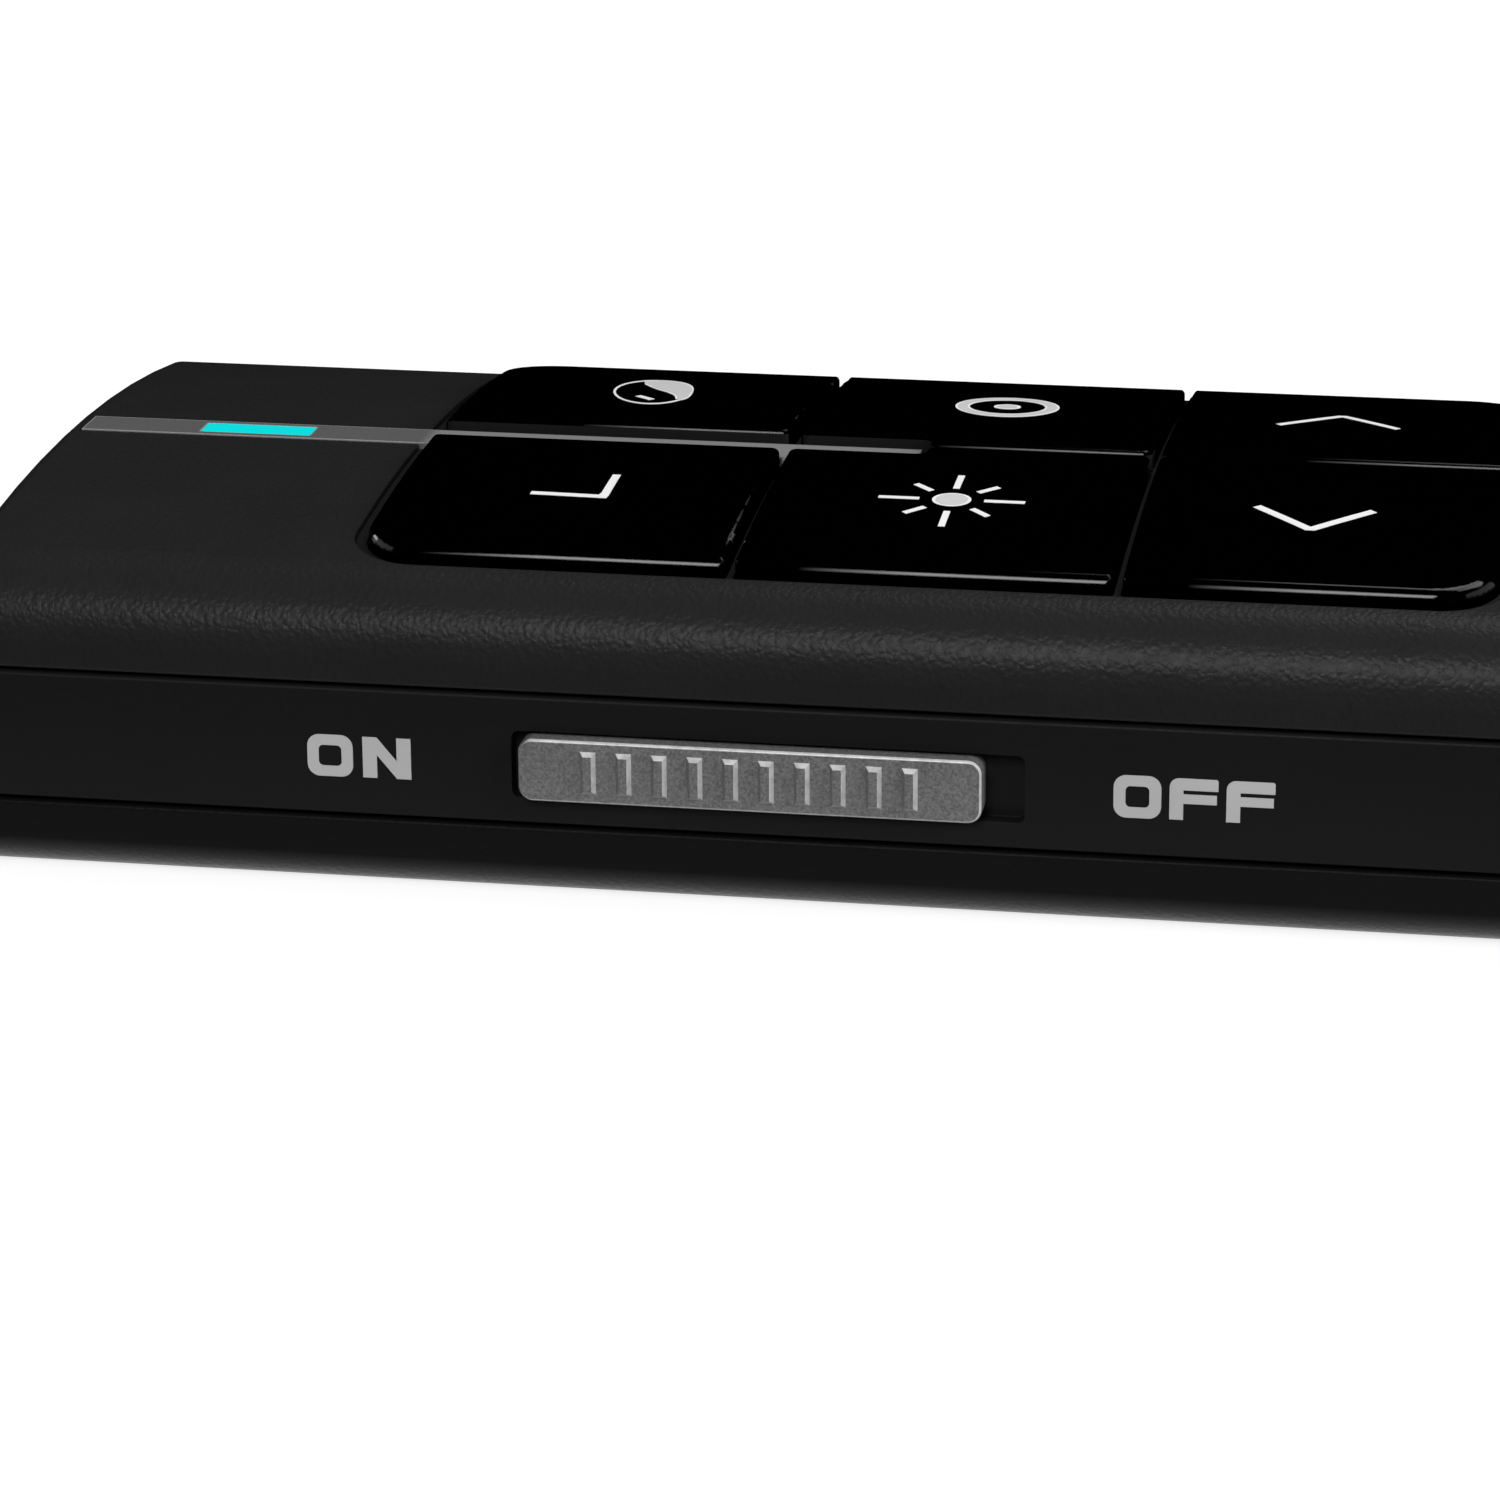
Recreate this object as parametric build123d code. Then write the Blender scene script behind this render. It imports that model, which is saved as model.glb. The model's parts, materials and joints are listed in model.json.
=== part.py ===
"""Wireless presentation clicker: a crowned bar with six keys on top, a power slider in its side, a
pointer laser in its nose, an AAA cell under a slide-off door and a USB receiver stored in its tail.

Millimetres. X runs from the nose (-X) to the tail (+X), Y across and Z up from the flat base.
"""

from build123d import *
import os
from math import sqrt

os.makedirs("parts", exist_ok=True)

# Body
LENGTH = 136.0
WIDTH = 33.0
HEIGHT = 13.2  # base to the top of the crown
CROWN_RADIUS = 94.5
SHOULDER_RADIUS = 3.1
BASE_RADIUS = 1.6
END_RADIUS = 0.65
WALL = 1.4
SEAM_LOW = 2.9  # the band's lower and upper joints
SEAM_HIGH = 8.05
SEAM_GAP = 0.16
SEAM_ROUND = 0.15
LAP = 0.75  # the band's tongues lie this far inside the outer face
LAP_HEIGHT = 0.7
NOSE = -LENGTH / 2
TAIL = LENGTH / 2
SIDE = WIDTH / 2

# Keypad: three columns of keys in one opening
COLUMN_PITCH = 14.5
FIRST_GAP = NOSE + 29.6  # middle of the gap between the first two columns
KEY_GAP = 0.37
KEY_HALF_WIDTH = 13.65
KEYPAD_BACK = FIRST_GAP + 28.43
KEY_PROUD = 0.53
KEY_TRAVEL = 0.35
KEY_OUTER_CORNER = 2.45
KEY_INNER_CORNER = 0.35
KEY_EDGE = 0.46  # round of the keypad's outer edge
KEY_INNER_EDGE = 0.2  # round of the edges between keys
CAP_BOTTOM = 11.55
OPENING_HALF_WIDTH = 14.02
OPENING_FRONT = FIRST_GAP - 14.85
OPENING_BACK = KEYPAD_BACK + 0.5
OPENING_CORNER = 2.75
FLOOR_DEPTH = 0.2  # visible floor between the keys, below the crown
BEZEL_BOTTOM = 10.2
POCKET_FLOOR = CAP_BOTTOM - KEY_TRAVEL - 0.03
KEY_CLEARANCE = 0.06
STEM_SIZE = 8.0
STEM_CLEARANCE = 0.15
HOOK = 0.35

# Strip and window in the crown
STRIP_WIDTH = 1.96
STRIP_PROUD = 0.03
STRIP_DEPTH = 1.0
STRIP_FRONT = FIRST_GAP - 28.8
STRIP_BACK = FIRST_GAP + 5.11
STRIP_TAB = 0.32
STRIP_CLEARANCE = 0.12
STRIP_END_GAP = 0.42  # from the strip's end to the keys that meet behind it
INNER_KEY_LINE = 0.2  # inner edge of the keys that meet on the centre line
STRIP_KEY_LINE = 1.2  # inner edge of the keys beside the strip
WINDOW_X = FIRST_GAP - 21.7
WINDOW_LENGTH = 4.45
WINDOW_WIDTH = 1.2

# Circuit board and switches
BOARD_TOP = 7.2
BOARD_THICK = 1.0
BOARD_HALF_WIDTH = 13.0
BOARD_FRONT = NOSE + 3.5
BOARD_BACK = NOSE + 62.0
BOARD_SCREW_X = BOARD_BACK - 5.5
BOARD_SCREW_Y = 11.9
BOARD_SCREW_RADIUS = 0.55
SWITCH_SIZE = 4.5
SWITCH_HEIGHT = 1.9
PLUNGER_RADIUS = 1.2
PLUNGER_TOP = 9.75

# Power slider
SLOT_FRONT = FIRST_GAP - 7.8
SLOT_BACK = FIRST_GAP + 11.53
SLOT_BOTTOM = 4.0
SLOT_TOP = 6.62
SLOT_DEPTH = 0.7
SLOT_CORNER = 0.3
KNOB_LENGTH = 17.45
KNOB_HEIGHT = 2.44
KNOB_PROUD = 0.55
KNOB_CORNER = 0.55
KNOB_EDGE = 0.13
KNOB_X = FIRST_GAP + 1.275
KNOB_Z = 5.28
SLIDER_TRAVEL = 1.5
RIB_COUNT = 10
RIB_PITCH = 1.345
RIB_WIDTH = 0.6
RIB_HEIGHT = 1.65
RIB_PROUD = 0.2
RIB_SLOPE = 35  # degrees that a rib's flanks lean in
STEM_LENGTH = 3.0
STEM_HEIGHT = 1.2

# Laser
AXIS_Z = (SEAM_LOW + SEAM_HIGH) / 2
BARREL_RADIUS = 3.0
BARREL_BORE = 2.1
BARREL_FRONT = NOSE + 1.6
BARREL_BACK = NOSE + 13.6

# Battery, AAA
CELL_RADIUS = 5.15
CELL_LENGTH = 43.6
CELL_FRONT = NOSE + 68.4
CELL_Z = 6.5
NUB_RADIUS = 1.9
NUB_LENGTH = 0.9
BAY_FRONT = CELL_FRONT - 3.8
BAY_BACK = CELL_FRONT + CELL_LENGTH + NUB_LENGTH + 0.3
BAY_WALL = 1.0
BAY_HALF_WIDTH = 5.5
LEAD_RADIUS = 0.5
LEAD_Y = 8.2
LEAD_Z = 9.4

# Battery door
DOOR_FRONT = NOSE + 65.0
DOOR_HALF_WIDTH = 9.85
DOOR_THICK = 1.2
DOOR_TONGUE = 1.0
TONGUE_BOTTOM = 0.65
DOOR_CLEARANCE = 0.15

# USB receiver, stored in the tail
PLUG_WIDTH = 12.0
PLUG_HEIGHT = 4.5
PLUG_LENGTH = 12.0
PLUG_WALL = 0.3
RECEIVER_CAP_LENGTH = 7.5
RECEIVER_WIDTH = 14.5
RECEIVER_HEIGHT = 5.9
RECEIVER_BACK = TAIL - 0.2
RECEIVER_FRONT = RECEIVER_BACK - RECEIVER_CAP_LENGTH
SOCKET_CLEARANCE = 0.25
SLEEVE_WALL = 0.7
GRIP_RADIUS = 2.2  # finger notches at both sides of the receiver's cap
GRIP_Y = RECEIVER_WIDTH / 2 + 0.6
GRIP_HALF_WIDTH = 11.0  # solid backing behind the notches
GRIP_BACKING = 3.2

# Screws
BOSS_RADIUS = 2.1
BOSS_BOTTOM = 3.6
FRONT_BOSS = (NOSE + 6.5, 11.6)
BACK_BOSS = (TAIL - 6.5, 12.9)
SCREW_HEAD_RADIUS = 1.6
SCREW_HEAD_HEIGHT = 0.9
SCREW_SHANK_RADIUS = 0.62
SCREW_TOP = 9.0

# Centres of the crown arc and of the shoulder arcs, the same at every inset of the section
CROWN_Z = HEIGHT - CROWN_RADIUS
SHOULDER_Y = SIDE - SHOULDER_RADIUS
SHOULDER_Z = CROWN_Z + sqrt((CROWN_RADIUS - SHOULDER_RADIUS) ** 2 - SHOULDER_Y**2)

SCREWS = [(x, side * y) for x, y in (FRONT_BOSS, BACK_BOSS) for side in (-1, 1)]


def block(x0, x1, y0, y1, z0, z1):
    """A box between two corners."""
    centre = ((x0 + x1) / 2, (y0 + y1) / 2, (z0 + z1) / 2)
    return Pos(*centre) * Box(x1 - x0, y1 - y0, z1 - z0)


def rod_x(radius, x0, x1, y, z):
    """A cylinder along X."""
    return Pos((x0 + x1) / 2, y, z) * Rot(0, 90, 0) * Cylinder(radius, x1 - x0)


def rod_z(radius, x, y, z0, z1):
    """A cylinder along Z."""
    return Pos(x, y, (z0 + z1) / 2) * Cylinder(radius, z1 - z0)


def rounded_z(x0, x1, y0, y1, z0, z1, radius):
    """A block whose upright edges are rounded."""
    outline = RectangleRounded(x1 - x0, y1 - y0, radius)
    return extrude(Pos((x0 + x1) / 2, (y0 + y1) / 2, z0) * outline, z1 - z0)


def rounded_x(x0, x1, half_width, height, radius):
    """A block along X on the laser's height, whose lengthwise edges are rounded."""
    outline = RectangleRounded(2 * half_width, height, radius)
    return extrude(Plane((x0, 0, AXIS_Z), x_dir=(0, 1, 0), z_dir=(1, 0, 0)) * outline, x1 - x0)


def slab(z0, z1):
    """Everything between two heights."""
    return block(NOSE - 1, TAIL + 1, -SIDE - 1, SIDE + 1, z0, z1)


def section(inset):
    """The body's cross-section, moved inwards by inset."""
    half = SIDE - inset
    crown = CROWN_RADIUS - inset
    shoulder = SHOULDER_RADIUS - inset
    corner = max(BASE_RADIUS - inset, 0.2)
    reach = crown / (CROWN_RADIUS - SHOULDER_RADIUS)
    meet_y = SHOULDER_Y * reach
    meet_z = CROWN_Z + (SHOULDER_Z - CROWN_Z) * reach
    start = Vector(meet_y - SHOULDER_Y, meet_z - SHOULDER_Z, 0).get_angle(Vector(1, 0, 0))
    lines = [
        ThreePointArc((-meet_y, meet_z), (0, HEIGHT - inset), (meet_y, meet_z)),
        CenterArc((SHOULDER_Y, SHOULDER_Z), shoulder, 0, start),
        Line((half, SHOULDER_Z), (half, inset + corner)),
        CenterArc((half - corner, inset + corner), corner, -90, 90),
        Line((half - corner, inset), (corner - half, inset)),
        CenterArc((corner - half, inset + corner), corner, 180, 90),
        Line((-half, inset + corner), (-half, SHOULDER_Z)),
        CenterArc((-SHOULDER_Y, SHOULDER_Z), shoulder, 180 - start, start),
    ]
    return Plane.YZ * make_face(Curve() + lines)


def hull(inset):
    """The body's outer form, moved inwards by inset, with square ends."""
    return extrude(section(inset), LENGTH / 2 - inset, both=True)


def outer_hull():
    """The body's outer form with its two ends rounded off."""
    solid = hull(0)
    ends = solid.faces().sort_by(Axis.X)
    return fillet(ends[0].edges() + ends[-1].edges(), END_RADIUS)


def crown_cylinder(offset):
    """Everything under the crown arc moved up by offset."""
    return rod_x(CROWN_RADIUS + offset, NOSE - 1, TAIL + 1, 0, CROWN_Z)


def round_seam(solid, height, radius=SEAM_ROUND):
    """Round the outer edge of the flat face that lies at one height."""
    face = solid.faces().filter_by(lambda f: abs(f.center().Z - height) < 0.01).sort_by(SortBy.AREA)[-1]
    return fillet(face.outer_wire().edges(), radius)


def receiver_socket():
    """The hollow that holds the receiver: a wide part for its cap and a narrow part for its plug."""
    cap = rounded_x(
        RECEIVER_FRONT - SOCKET_CLEARANCE,
        TAIL + 1,
        RECEIVER_WIDTH / 2 + SOCKET_CLEARANCE,
        RECEIVER_HEIGHT + 2 * SOCKET_CLEARANCE,
        1.2,
    )
    plug_front = RECEIVER_FRONT - PLUG_LENGTH - SOCKET_CLEARANCE
    half_width = PLUG_WIDTH / 2 + SOCKET_CLEARANCE
    plug = rounded_x(plug_front, RECEIVER_FRONT, half_width, PLUG_HEIGHT + 2 * SOCKET_CLEARANCE, 0.4)
    return cap + plug


def key_opening(clearance, z0, z1):
    """The keypad's opening in the crown."""
    x0 = OPENING_FRONT + clearance
    x1 = OPENING_BACK - clearance
    half = OPENING_HALF_WIDTH - clearance
    return rounded_z(x0, x1, -half, half, z0, z1, OPENING_CORNER - clearance)


def top_shell():
    """Upper casing with the keypad opening, the strip's groove and four screw bosses."""
    bottom = SEAM_HIGH + SEAM_GAP / 2
    shell = (outer_hull() - hull(WALL)) & slab(bottom, HEIGHT + 1)
    shell = round_seam(shell, bottom)
    for x, y in SCREWS:
        shell += rod_z(BOSS_RADIUS, x, y, BOSS_BOTTOM, HEIGHT) & hull(0.5)
    shell -= (hull(LAP) - hull(WALL)) & slab(0, SEAM_HIGH + LAP_HEIGHT)
    for x, y in SCREWS:
        shell -= rod_z(SCREW_SHANK_RADIUS + 0.03, x, y, 0, SCREW_TOP + 0.4)
    shell -= key_opening(0, BEZEL_BOTTOM, HEIGHT + 1)
    half = STRIP_WIDTH / 2 + STRIP_CLEARANCE
    shell -= block(STRIP_FRONT - STRIP_CLEARANCE, OPENING_FRONT + 1, -half, half, HEIGHT - STRIP_DEPTH, HEIGHT + 1)
    shell -= window_block(0.1, BEZEL_BOTTOM)
    return shell - receiver_socket()


def middle_frame():
    """Side band with a tongue into each casing, the slider's slot, and the walls inside the body."""
    low = SEAM_LOW + SEAM_GAP / 2
    high = SEAM_HIGH - SEAM_GAP / 2
    band = (outer_hull() - hull(WALL)) & slab(low, high)
    band = round_seam(round_seam(band, low), high)
    band += (hull(LAP + 0.03) - hull(WALL)) & slab(SEAM_LOW - LAP_HEIGHT, SEAM_HIGH + LAP_HEIGHT)
    band += frame_walls()
    band -= slider_slot()
    band -= rod_x(2.7, NOSE - 1, NOSE + 0.6, 0, AXIS_Z) + rod_x(2.0, NOSE - 1, NOSE + 2, 0, AXIS_Z)
    band -= receiver_socket()
    for side in (-1, 1):
        band -= rod_z(GRIP_RADIUS, TAIL + 0.4, side * GRIP_Y, low, high + LAP_HEIGHT)
    return band


def frame_walls():
    """Ledges for the board, the battery bay, the receiver's sleeve and the backing of its finger notches."""
    inside = hull(WALL - 0.1)
    walls = None
    for x0, x1 in ((NOSE + 12, NOSE + 18), (BOARD_BACK - 8, BOARD_BACK - 3)):
        for side in (-1, 1):
            inner, outer = sorted((side * 11.2, side * (SIDE - 0.5)))
            ledge = block(x0, x1, inner, outer, 4.6, BOARD_TOP - BOARD_THICK)
            walls = ledge if walls is None else walls + ledge
            walls -= rod_z(BOARD_SCREW_RADIUS + 0.03, BOARD_SCREW_X, side * BOARD_SCREW_Y, 4, BOARD_TOP)
    for x in (BAY_FRONT - BAY_WALL, BAY_BACK):
        cross = block(x, x + BAY_WALL, -SIDE + 0.5, SIDE - 0.5, SEAM_LOW, SEAM_HIGH)
        walls += cross + block(x, x + BAY_WALL, -BAY_HALF_WIDTH - 1, BAY_HALF_WIDTH + 1, 1.3, 10.9)
    for side in (-1, 1):
        inner, outer = sorted((side * BAY_HALF_WIDTH, side * (BAY_HALF_WIDTH + BAY_WALL)))
        walls += block(BAY_FRONT - BAY_WALL, BAY_BACK - 0.7, inner, outer, 1.3, 10.9)
        inner, outer = sorted((side * BAY_HALF_WIDTH, side * 12))
        walls += block(BAY_FRONT - BAY_WALL, BAY_BACK + BAY_WALL, inner, outer, WALL, 2.2)
    sleeve_half = RECEIVER_WIDTH / 2 + SOCKET_CLEARANCE + 1.0
    sleeve_top = AXIS_Z + RECEIVER_HEIGHT / 2 + SOCKET_CLEARANCE + SLEEVE_WALL
    walls += block(BAY_BACK, TAIL - 0.5, -sleeve_half, sleeve_half, 1.5, sleeve_top)
    walls += block(TAIL - GRIP_BACKING, TAIL - 0.5, -GRIP_HALF_WIDTH, GRIP_HALF_WIDTH, 1.5, sleeve_top)
    walls = walls & inside
    walls -= block(BAY_FRONT - 2, BAY_FRONT + 0.5, 1.9, 4.1, BOARD_TOP - 0.05, BOARD_TOP + 0.35)
    walls -= block(BAY_FRONT - 2, BAY_FRONT + 0.5, LEAD_Y - 0.8, LEAD_Y + 0.8, 6.6, 12)
    tail_edge = (hull(0) - hull(WALL)) & slab(0, SEAM_LOW - LAP_HEIGHT)
    roof_edge = (hull(0) - hull(WALL)) & slab(SEAM_HIGH + LAP_HEIGHT, HEIGHT)
    return walls - tail_edge - roof_edge


def slider_slot():
    """A shallow track in the outer face, with a short opening for the knob's stem."""
    centre = ((SLOT_FRONT + SLOT_BACK) / 2, -SIDE + SLOT_DEPTH, (SLOT_BOTTOM + SLOT_TOP) / 2)
    outline = RectangleRounded(SLOT_BACK - SLOT_FRONT, SLOT_TOP - SLOT_BOTTOM, SLOT_CORNER)
    track = extrude(Plane(centre, x_dir=(1, 0, 0), z_dir=(0, -1, 0)) * outline, SLOT_DEPTH + 1)
    x0 = KNOB_X - STEM_LENGTH / 2 - 0.1
    x1 = KNOB_X + STEM_LENGTH / 2 + SLIDER_TRAVEL + 0.1
    half = STEM_HEIGHT / 2 + 0.1
    return track + block(x0, x1, -SIDE, -SIDE + 3, KNOB_Z - half, KNOB_Z + half)


def bottom_shell():
    """Lower casing with the door's opening, saddles for the laser and four counterbored screw posts."""
    top = SEAM_LOW - SEAM_GAP / 2
    shell = (outer_hull() - hull(WALL)) & slab(-1, top)
    shell = round_seam(shell, top)
    for x in (BARREL_FRONT + 2.5, BARREL_BACK - 2.5):
        saddle = block(x - 0.6, x + 0.6, -4.2, 4.2, 0.5, AXIS_Z - 0.1)
        shell += saddle - rod_x(BARREL_RADIUS + 0.02, x - 1, x + 1, 0, AXIS_Z)
    for x, y in SCREWS:
        shell += rod_z(BOSS_RADIUS, x, y, 0.5, BOSS_BOTTOM) & hull(0.5)
    shell -= (hull(LAP) - hull(WALL)) & slab(SEAM_LOW - LAP_HEIGHT, HEIGHT)
    for x, y in SCREWS:
        shell -= rod_z(SCREW_HEAD_RADIUS + 0.15, x, y, -1, SCREW_HEAD_HEIGHT + 0.1)
        shell -= rod_z(SCREW_SHANK_RADIUS + 0.2, x, y, 0, BOSS_BOTTOM + 1)
    wide = DOOR_HALF_WIDTH + DOOR_TONGUE + DOOR_CLEARANCE
    plain = DOOR_HALF_WIDTH + DOOR_CLEARANCE
    shell -= block(DOOR_FRONT - DOOR_CLEARANCE, TAIL + 1, -plain, plain, -1, 1)
    shell -= block(DOOR_FRONT - 1.2, TAIL + 1, -wide, wide, TONGUE_BOTTOM - 0.05, DOOR_THICK + 0.1)
    inner_back = TAIL - WALL
    shell -= block(DOOR_FRONT - 1.2, inner_back, -wide, wide, TONGUE_BOTTOM - 0.05, WALL + 0.1)
    plaque = rounded_z(NOSE + 16, NOSE + 54, -9, 9, -1, 0.15, 1.5)
    return shell - receiver_socket() - plaque


def window_block(clearance, bottom):
    """The head of the light guide, up through the strip to the crown."""
    half_length = WINDOW_LENGTH / 2 + clearance
    half_width = WINDOW_WIDTH / 2 + clearance
    x0 = WINDOW_X - half_length
    x1 = WINDOW_X + half_length
    return block(x0, x1, -half_width, half_width, bottom, HEIGHT + 1)


def center_strip():
    """Strip flush with the crown, with the window's slot and a small tab between two keys."""
    half = STRIP_WIDTH / 2
    bottom = HEIGHT - STRIP_DEPTH
    strip = block(STRIP_FRONT, STRIP_BACK, -half, half, bottom, HEIGHT + 1)
    tab_half = KEY_GAP / 2 - KEY_CLEARANCE
    strip += block(FIRST_GAP - tab_half, FIRST_GAP + tab_half, -half - STRIP_TAB, -half, bottom, HEIGHT + 1)
    strip = strip & crown_cylinder(STRIP_PROUD)
    return strip - window_block(0.04, 0)


def light_guide():
    """Clear guide from the status light up to the window, with a flange under the casing."""
    arm = block(WINDOW_X - 1, WINDOW_X + 1, -WINDOW_WIDTH / 2, 6.4, 8.7, 9.7)
    flange = block(WINDOW_X - 3.2, WINDOW_X + 3.2, -1.8, 1.8, 10.8, HEIGHT) & hull(WALL)
    return (window_block(0, 8.7) & crown_cylinder(STRIP_PROUD)) + arm + flange


def column_span(column):
    """X of a key column's two ends, for column 0 at the nose."""
    x0 = FIRST_GAP + (column - 1) * COLUMN_PITCH + KEY_GAP / 2
    return x0, KEYPAD_BACK if column == 2 else x0 + COLUMN_PITCH - KEY_GAP


def plan(x0, x1, y0, y1):
    """A flat rectangle between two corners."""
    return make_face(Polyline((x0, y0), (x1, y0), (x1, y1), (x0, y1), close=True))


def key_outline(column, grow=0.0):
    """Plan of the key on the far side of a column; the near key is its mirror image."""
    x0, x1 = column_span(column)
    inner = (STRIP_KEY_LINE, INNER_KEY_LINE, INNER_KEY_LINE)[column] - grow
    x0, x1, outer = x0 - grow, x1 + grow, KEY_HALF_WIDTH + grow
    face = plan(x0, x1, inner, outer)
    if column == 1:
        face -= plan(x0 - 1, STRIP_BACK + STRIP_END_GAP - grow, inner - 1, STRIP_KEY_LINE - grow)
    outer_x = (x0, None, x1)[column]

    def on_cluster_corner(vertex):
        return outer_x is not None and abs(vertex.X - outer_x) < 0.01 and vertex.Y > outer - 0.01

    tight = face.vertices().filter_by(lambda vertex: not on_cluster_corner(vertex))
    face = fillet(tight, KEY_INNER_CORNER)
    wide = face.vertices().filter_by(on_cluster_corner)
    return fillet(wide, KEY_OUTER_CORNER) if wide else face


def key_centre(column):
    """Middle of the far key of a column in plan."""
    x0, x1 = column_span(column)
    return (x0 + x1) / 2, 7.2


def round_top(solid, radius):
    """Round the edge of a solid's highest face."""
    top = solid.faces().sort_by(Axis.Z)[-1]
    return fillet(top.outer_wire().edges(), radius)


def keypad_form():
    """The form that the tops of all six keys make together."""
    front = column_span(0)[0]
    back = column_span(2)[1]
    half = KEY_HALF_WIDTH
    form = rounded_z(front, back, -half, half, CAP_BOTTOM, HEIGHT + 1, KEY_OUTER_CORNER)
    return round_top(form & crown_cylinder(KEY_PROUD), KEY_EDGE)


def key(column, side):
    """Gloss cap on a hooked skirt, with a post that presses its switch."""
    x, y = key_centre(column)
    cap = extrude(Pos(0, 0, CAP_BOTTOM) * key_outline(column), 4) & crown_cylinder(KEY_PROUD)
    cap = round_top(cap, KEY_INNER_EDGE) & keypad_form()
    half = STEM_SIZE / 2
    skirt_bottom = PLUNGER_TOP
    skirt = block(x - half, x + half, y - half, y + half, skirt_bottom, CAP_BOTTOM)
    skirt -= block(x - half + 0.9, x + half - 0.9, y - half + 0.9, y + half - 0.9, skirt_bottom, CAP_BOTTOM)
    hook_top = BEZEL_BOTTOM - 0.05
    for end in (-1, 1):
        inner, outer = sorted((x + end * half, x + end * (half + HOOK)))
        skirt += block(inner, outer, y - 1.5, y + 1.5, skirt_bottom, hook_top)
    body = cap + skirt + rod_z(1.6, x, y, PLUNGER_TOP, CAP_BOTTOM)
    return body if side > 0 else body.mirror(Plane.XZ)


def plunger(column, side):
    """Button of a press switch, which moves with its key."""
    x, y = key_centre(column)
    return rod_z(PLUNGER_RADIUS, x, side * y, BOARD_TOP + SWITCH_HEIGHT - 0.4, PLUNGER_TOP)


def tact_switches():
    """Six press switches on the board."""
    height = BOARD_TOP + SWITCH_HEIGHT
    half = SWITCH_SIZE / 2
    switches = []
    for column in range(3):
        for side in (-1, 1):
            x, y = key_centre(column)
            y *= side
            case = block(x - half, x + half, y - half, y + half, BOARD_TOP, height)
            well = rod_z(PLUNGER_RADIUS + 0.06, x, y, height - 0.4 - KEY_TRAVEL - 0.1, height)
            switches.append(case - well)
    return Compound(children=switches)


def keypad_bezel():
    """Keypad floor: ribs between the columns, a pocket under each cap and a hole for its skirt."""
    bezel = key_opening(0.03, BEZEL_BOTTOM, HEIGHT + 1) & crown_cylinder(-FLOOR_DEPTH)
    for x0, x1 in ((OPENING_FRONT - 2, OPENING_FRONT + 0.5), (OPENING_BACK - 0.5, OPENING_BACK + 2)):
        bezel += block(x0, x1, -10, 10, BEZEL_BOTTOM, HEIGHT) & hull(WALL)
    half = STEM_SIZE / 2 + STEM_CLEARANCE
    for column in range(3):
        x, y = key_centre(column)
        pocket = extrude(Pos(0, 0, POCKET_FLOOR) * key_outline(column, KEY_CLEARANCE), 4)
        hole = block(x - half, x + half, y - half, y + half, BEZEL_BOTTOM, POCKET_FLOOR)
        bezel -= pocket + hole
        bezel -= (pocket + hole).mirror(Plane.XZ)
        x0, x1 = column_span(column)
        if column > 0:
            x0 = max(x0, STRIP_BACK + STRIP_END_GAP)
            line = INNER_KEY_LINE
            bezel -= block(x0 - KEY_CLEARANCE, x1 + KEY_CLEARANCE, -line, line, POCKET_FLOOR, HEIGHT)
    seat = STRIP_WIDTH / 2 + STRIP_CLEARANCE
    bottom = HEIGHT - STRIP_DEPTH
    end = STRIP_BACK + STRIP_CLEARANCE
    bezel -= block(OPENING_FRONT - 1, end, -seat, seat, bottom, HEIGHT)
    bezel -= block(column_span(0)[0] - 0.1, end, -STRIP_KEY_LINE, STRIP_KEY_LINE, bottom, HEIGHT)
    tab = KEY_GAP / 2 + KEY_INNER_CORNER
    bezel -= block(FIRST_GAP - tab, FIRST_GAP + tab, -seat - STRIP_TAB, 0, bottom, HEIGHT)
    return bezel


def circuit_board():
    """Main board with a notch for the laser and cut-outs for the front screw bosses."""
    bottom = BOARD_TOP - BOARD_THICK
    half = BOARD_HALF_WIDTH
    board = block(BOARD_FRONT, BOARD_BACK, -half, half, bottom, BOARD_TOP)
    board -= block(BOARD_FRONT, BARREL_BACK + 2.4, -3.6, 3.6, bottom, BOARD_TOP)
    for side in (-1, 1):
        inner, outer = sorted((side * 8.2, side * (half + 1)))
        board -= block(BOARD_FRONT, NOSE + 10, inner, outer, bottom, BOARD_TOP)
        board -= rod_z(BOARD_SCREW_RADIUS + 0.1, BOARD_SCREW_X, side * BOARD_SCREW_Y, bottom, BOARD_TOP)
    return board


def board_screws():
    """Two small screws that hold the board on the frame's rear ledges."""
    screws = []
    for side in (-1, 1):
        x, y = BOARD_SCREW_X, side * BOARD_SCREW_Y
        head = rod_z(1.1, x, y, BOARD_TOP, BOARD_TOP + 0.8)
        screws.append(head + rod_z(BOARD_SCREW_RADIUS, x, y, 4.8, BOARD_TOP))
    return Compound(children=screws)


def radio_chip():
    """Square radio chip under the board."""
    bottom = BOARD_TOP - BOARD_THICK
    return block(FIRST_GAP + 20, FIRST_GAP + 25, 3, 8, bottom - 0.85, bottom)


def crystal_can():
    """Small metal can beside the radio chip."""
    bottom = BOARD_TOP - BOARD_THICK
    return rounded_z(FIRST_GAP + 15, FIRST_GAP + 18.2, 4, 6.5, bottom - 0.8, bottom, 0.4)


def chip_capacitors():
    """A row of chip capacitors under the board."""
    bottom = BOARD_TOP - BOARD_THICK
    caps = [
        block(FIRST_GAP + 15 + 2 * i, FIRST_GAP + 16 + 2 * i, 9.5, 10, bottom - 0.5, bottom) for i in range(6)
    ]
    return Compound(children=caps)


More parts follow.
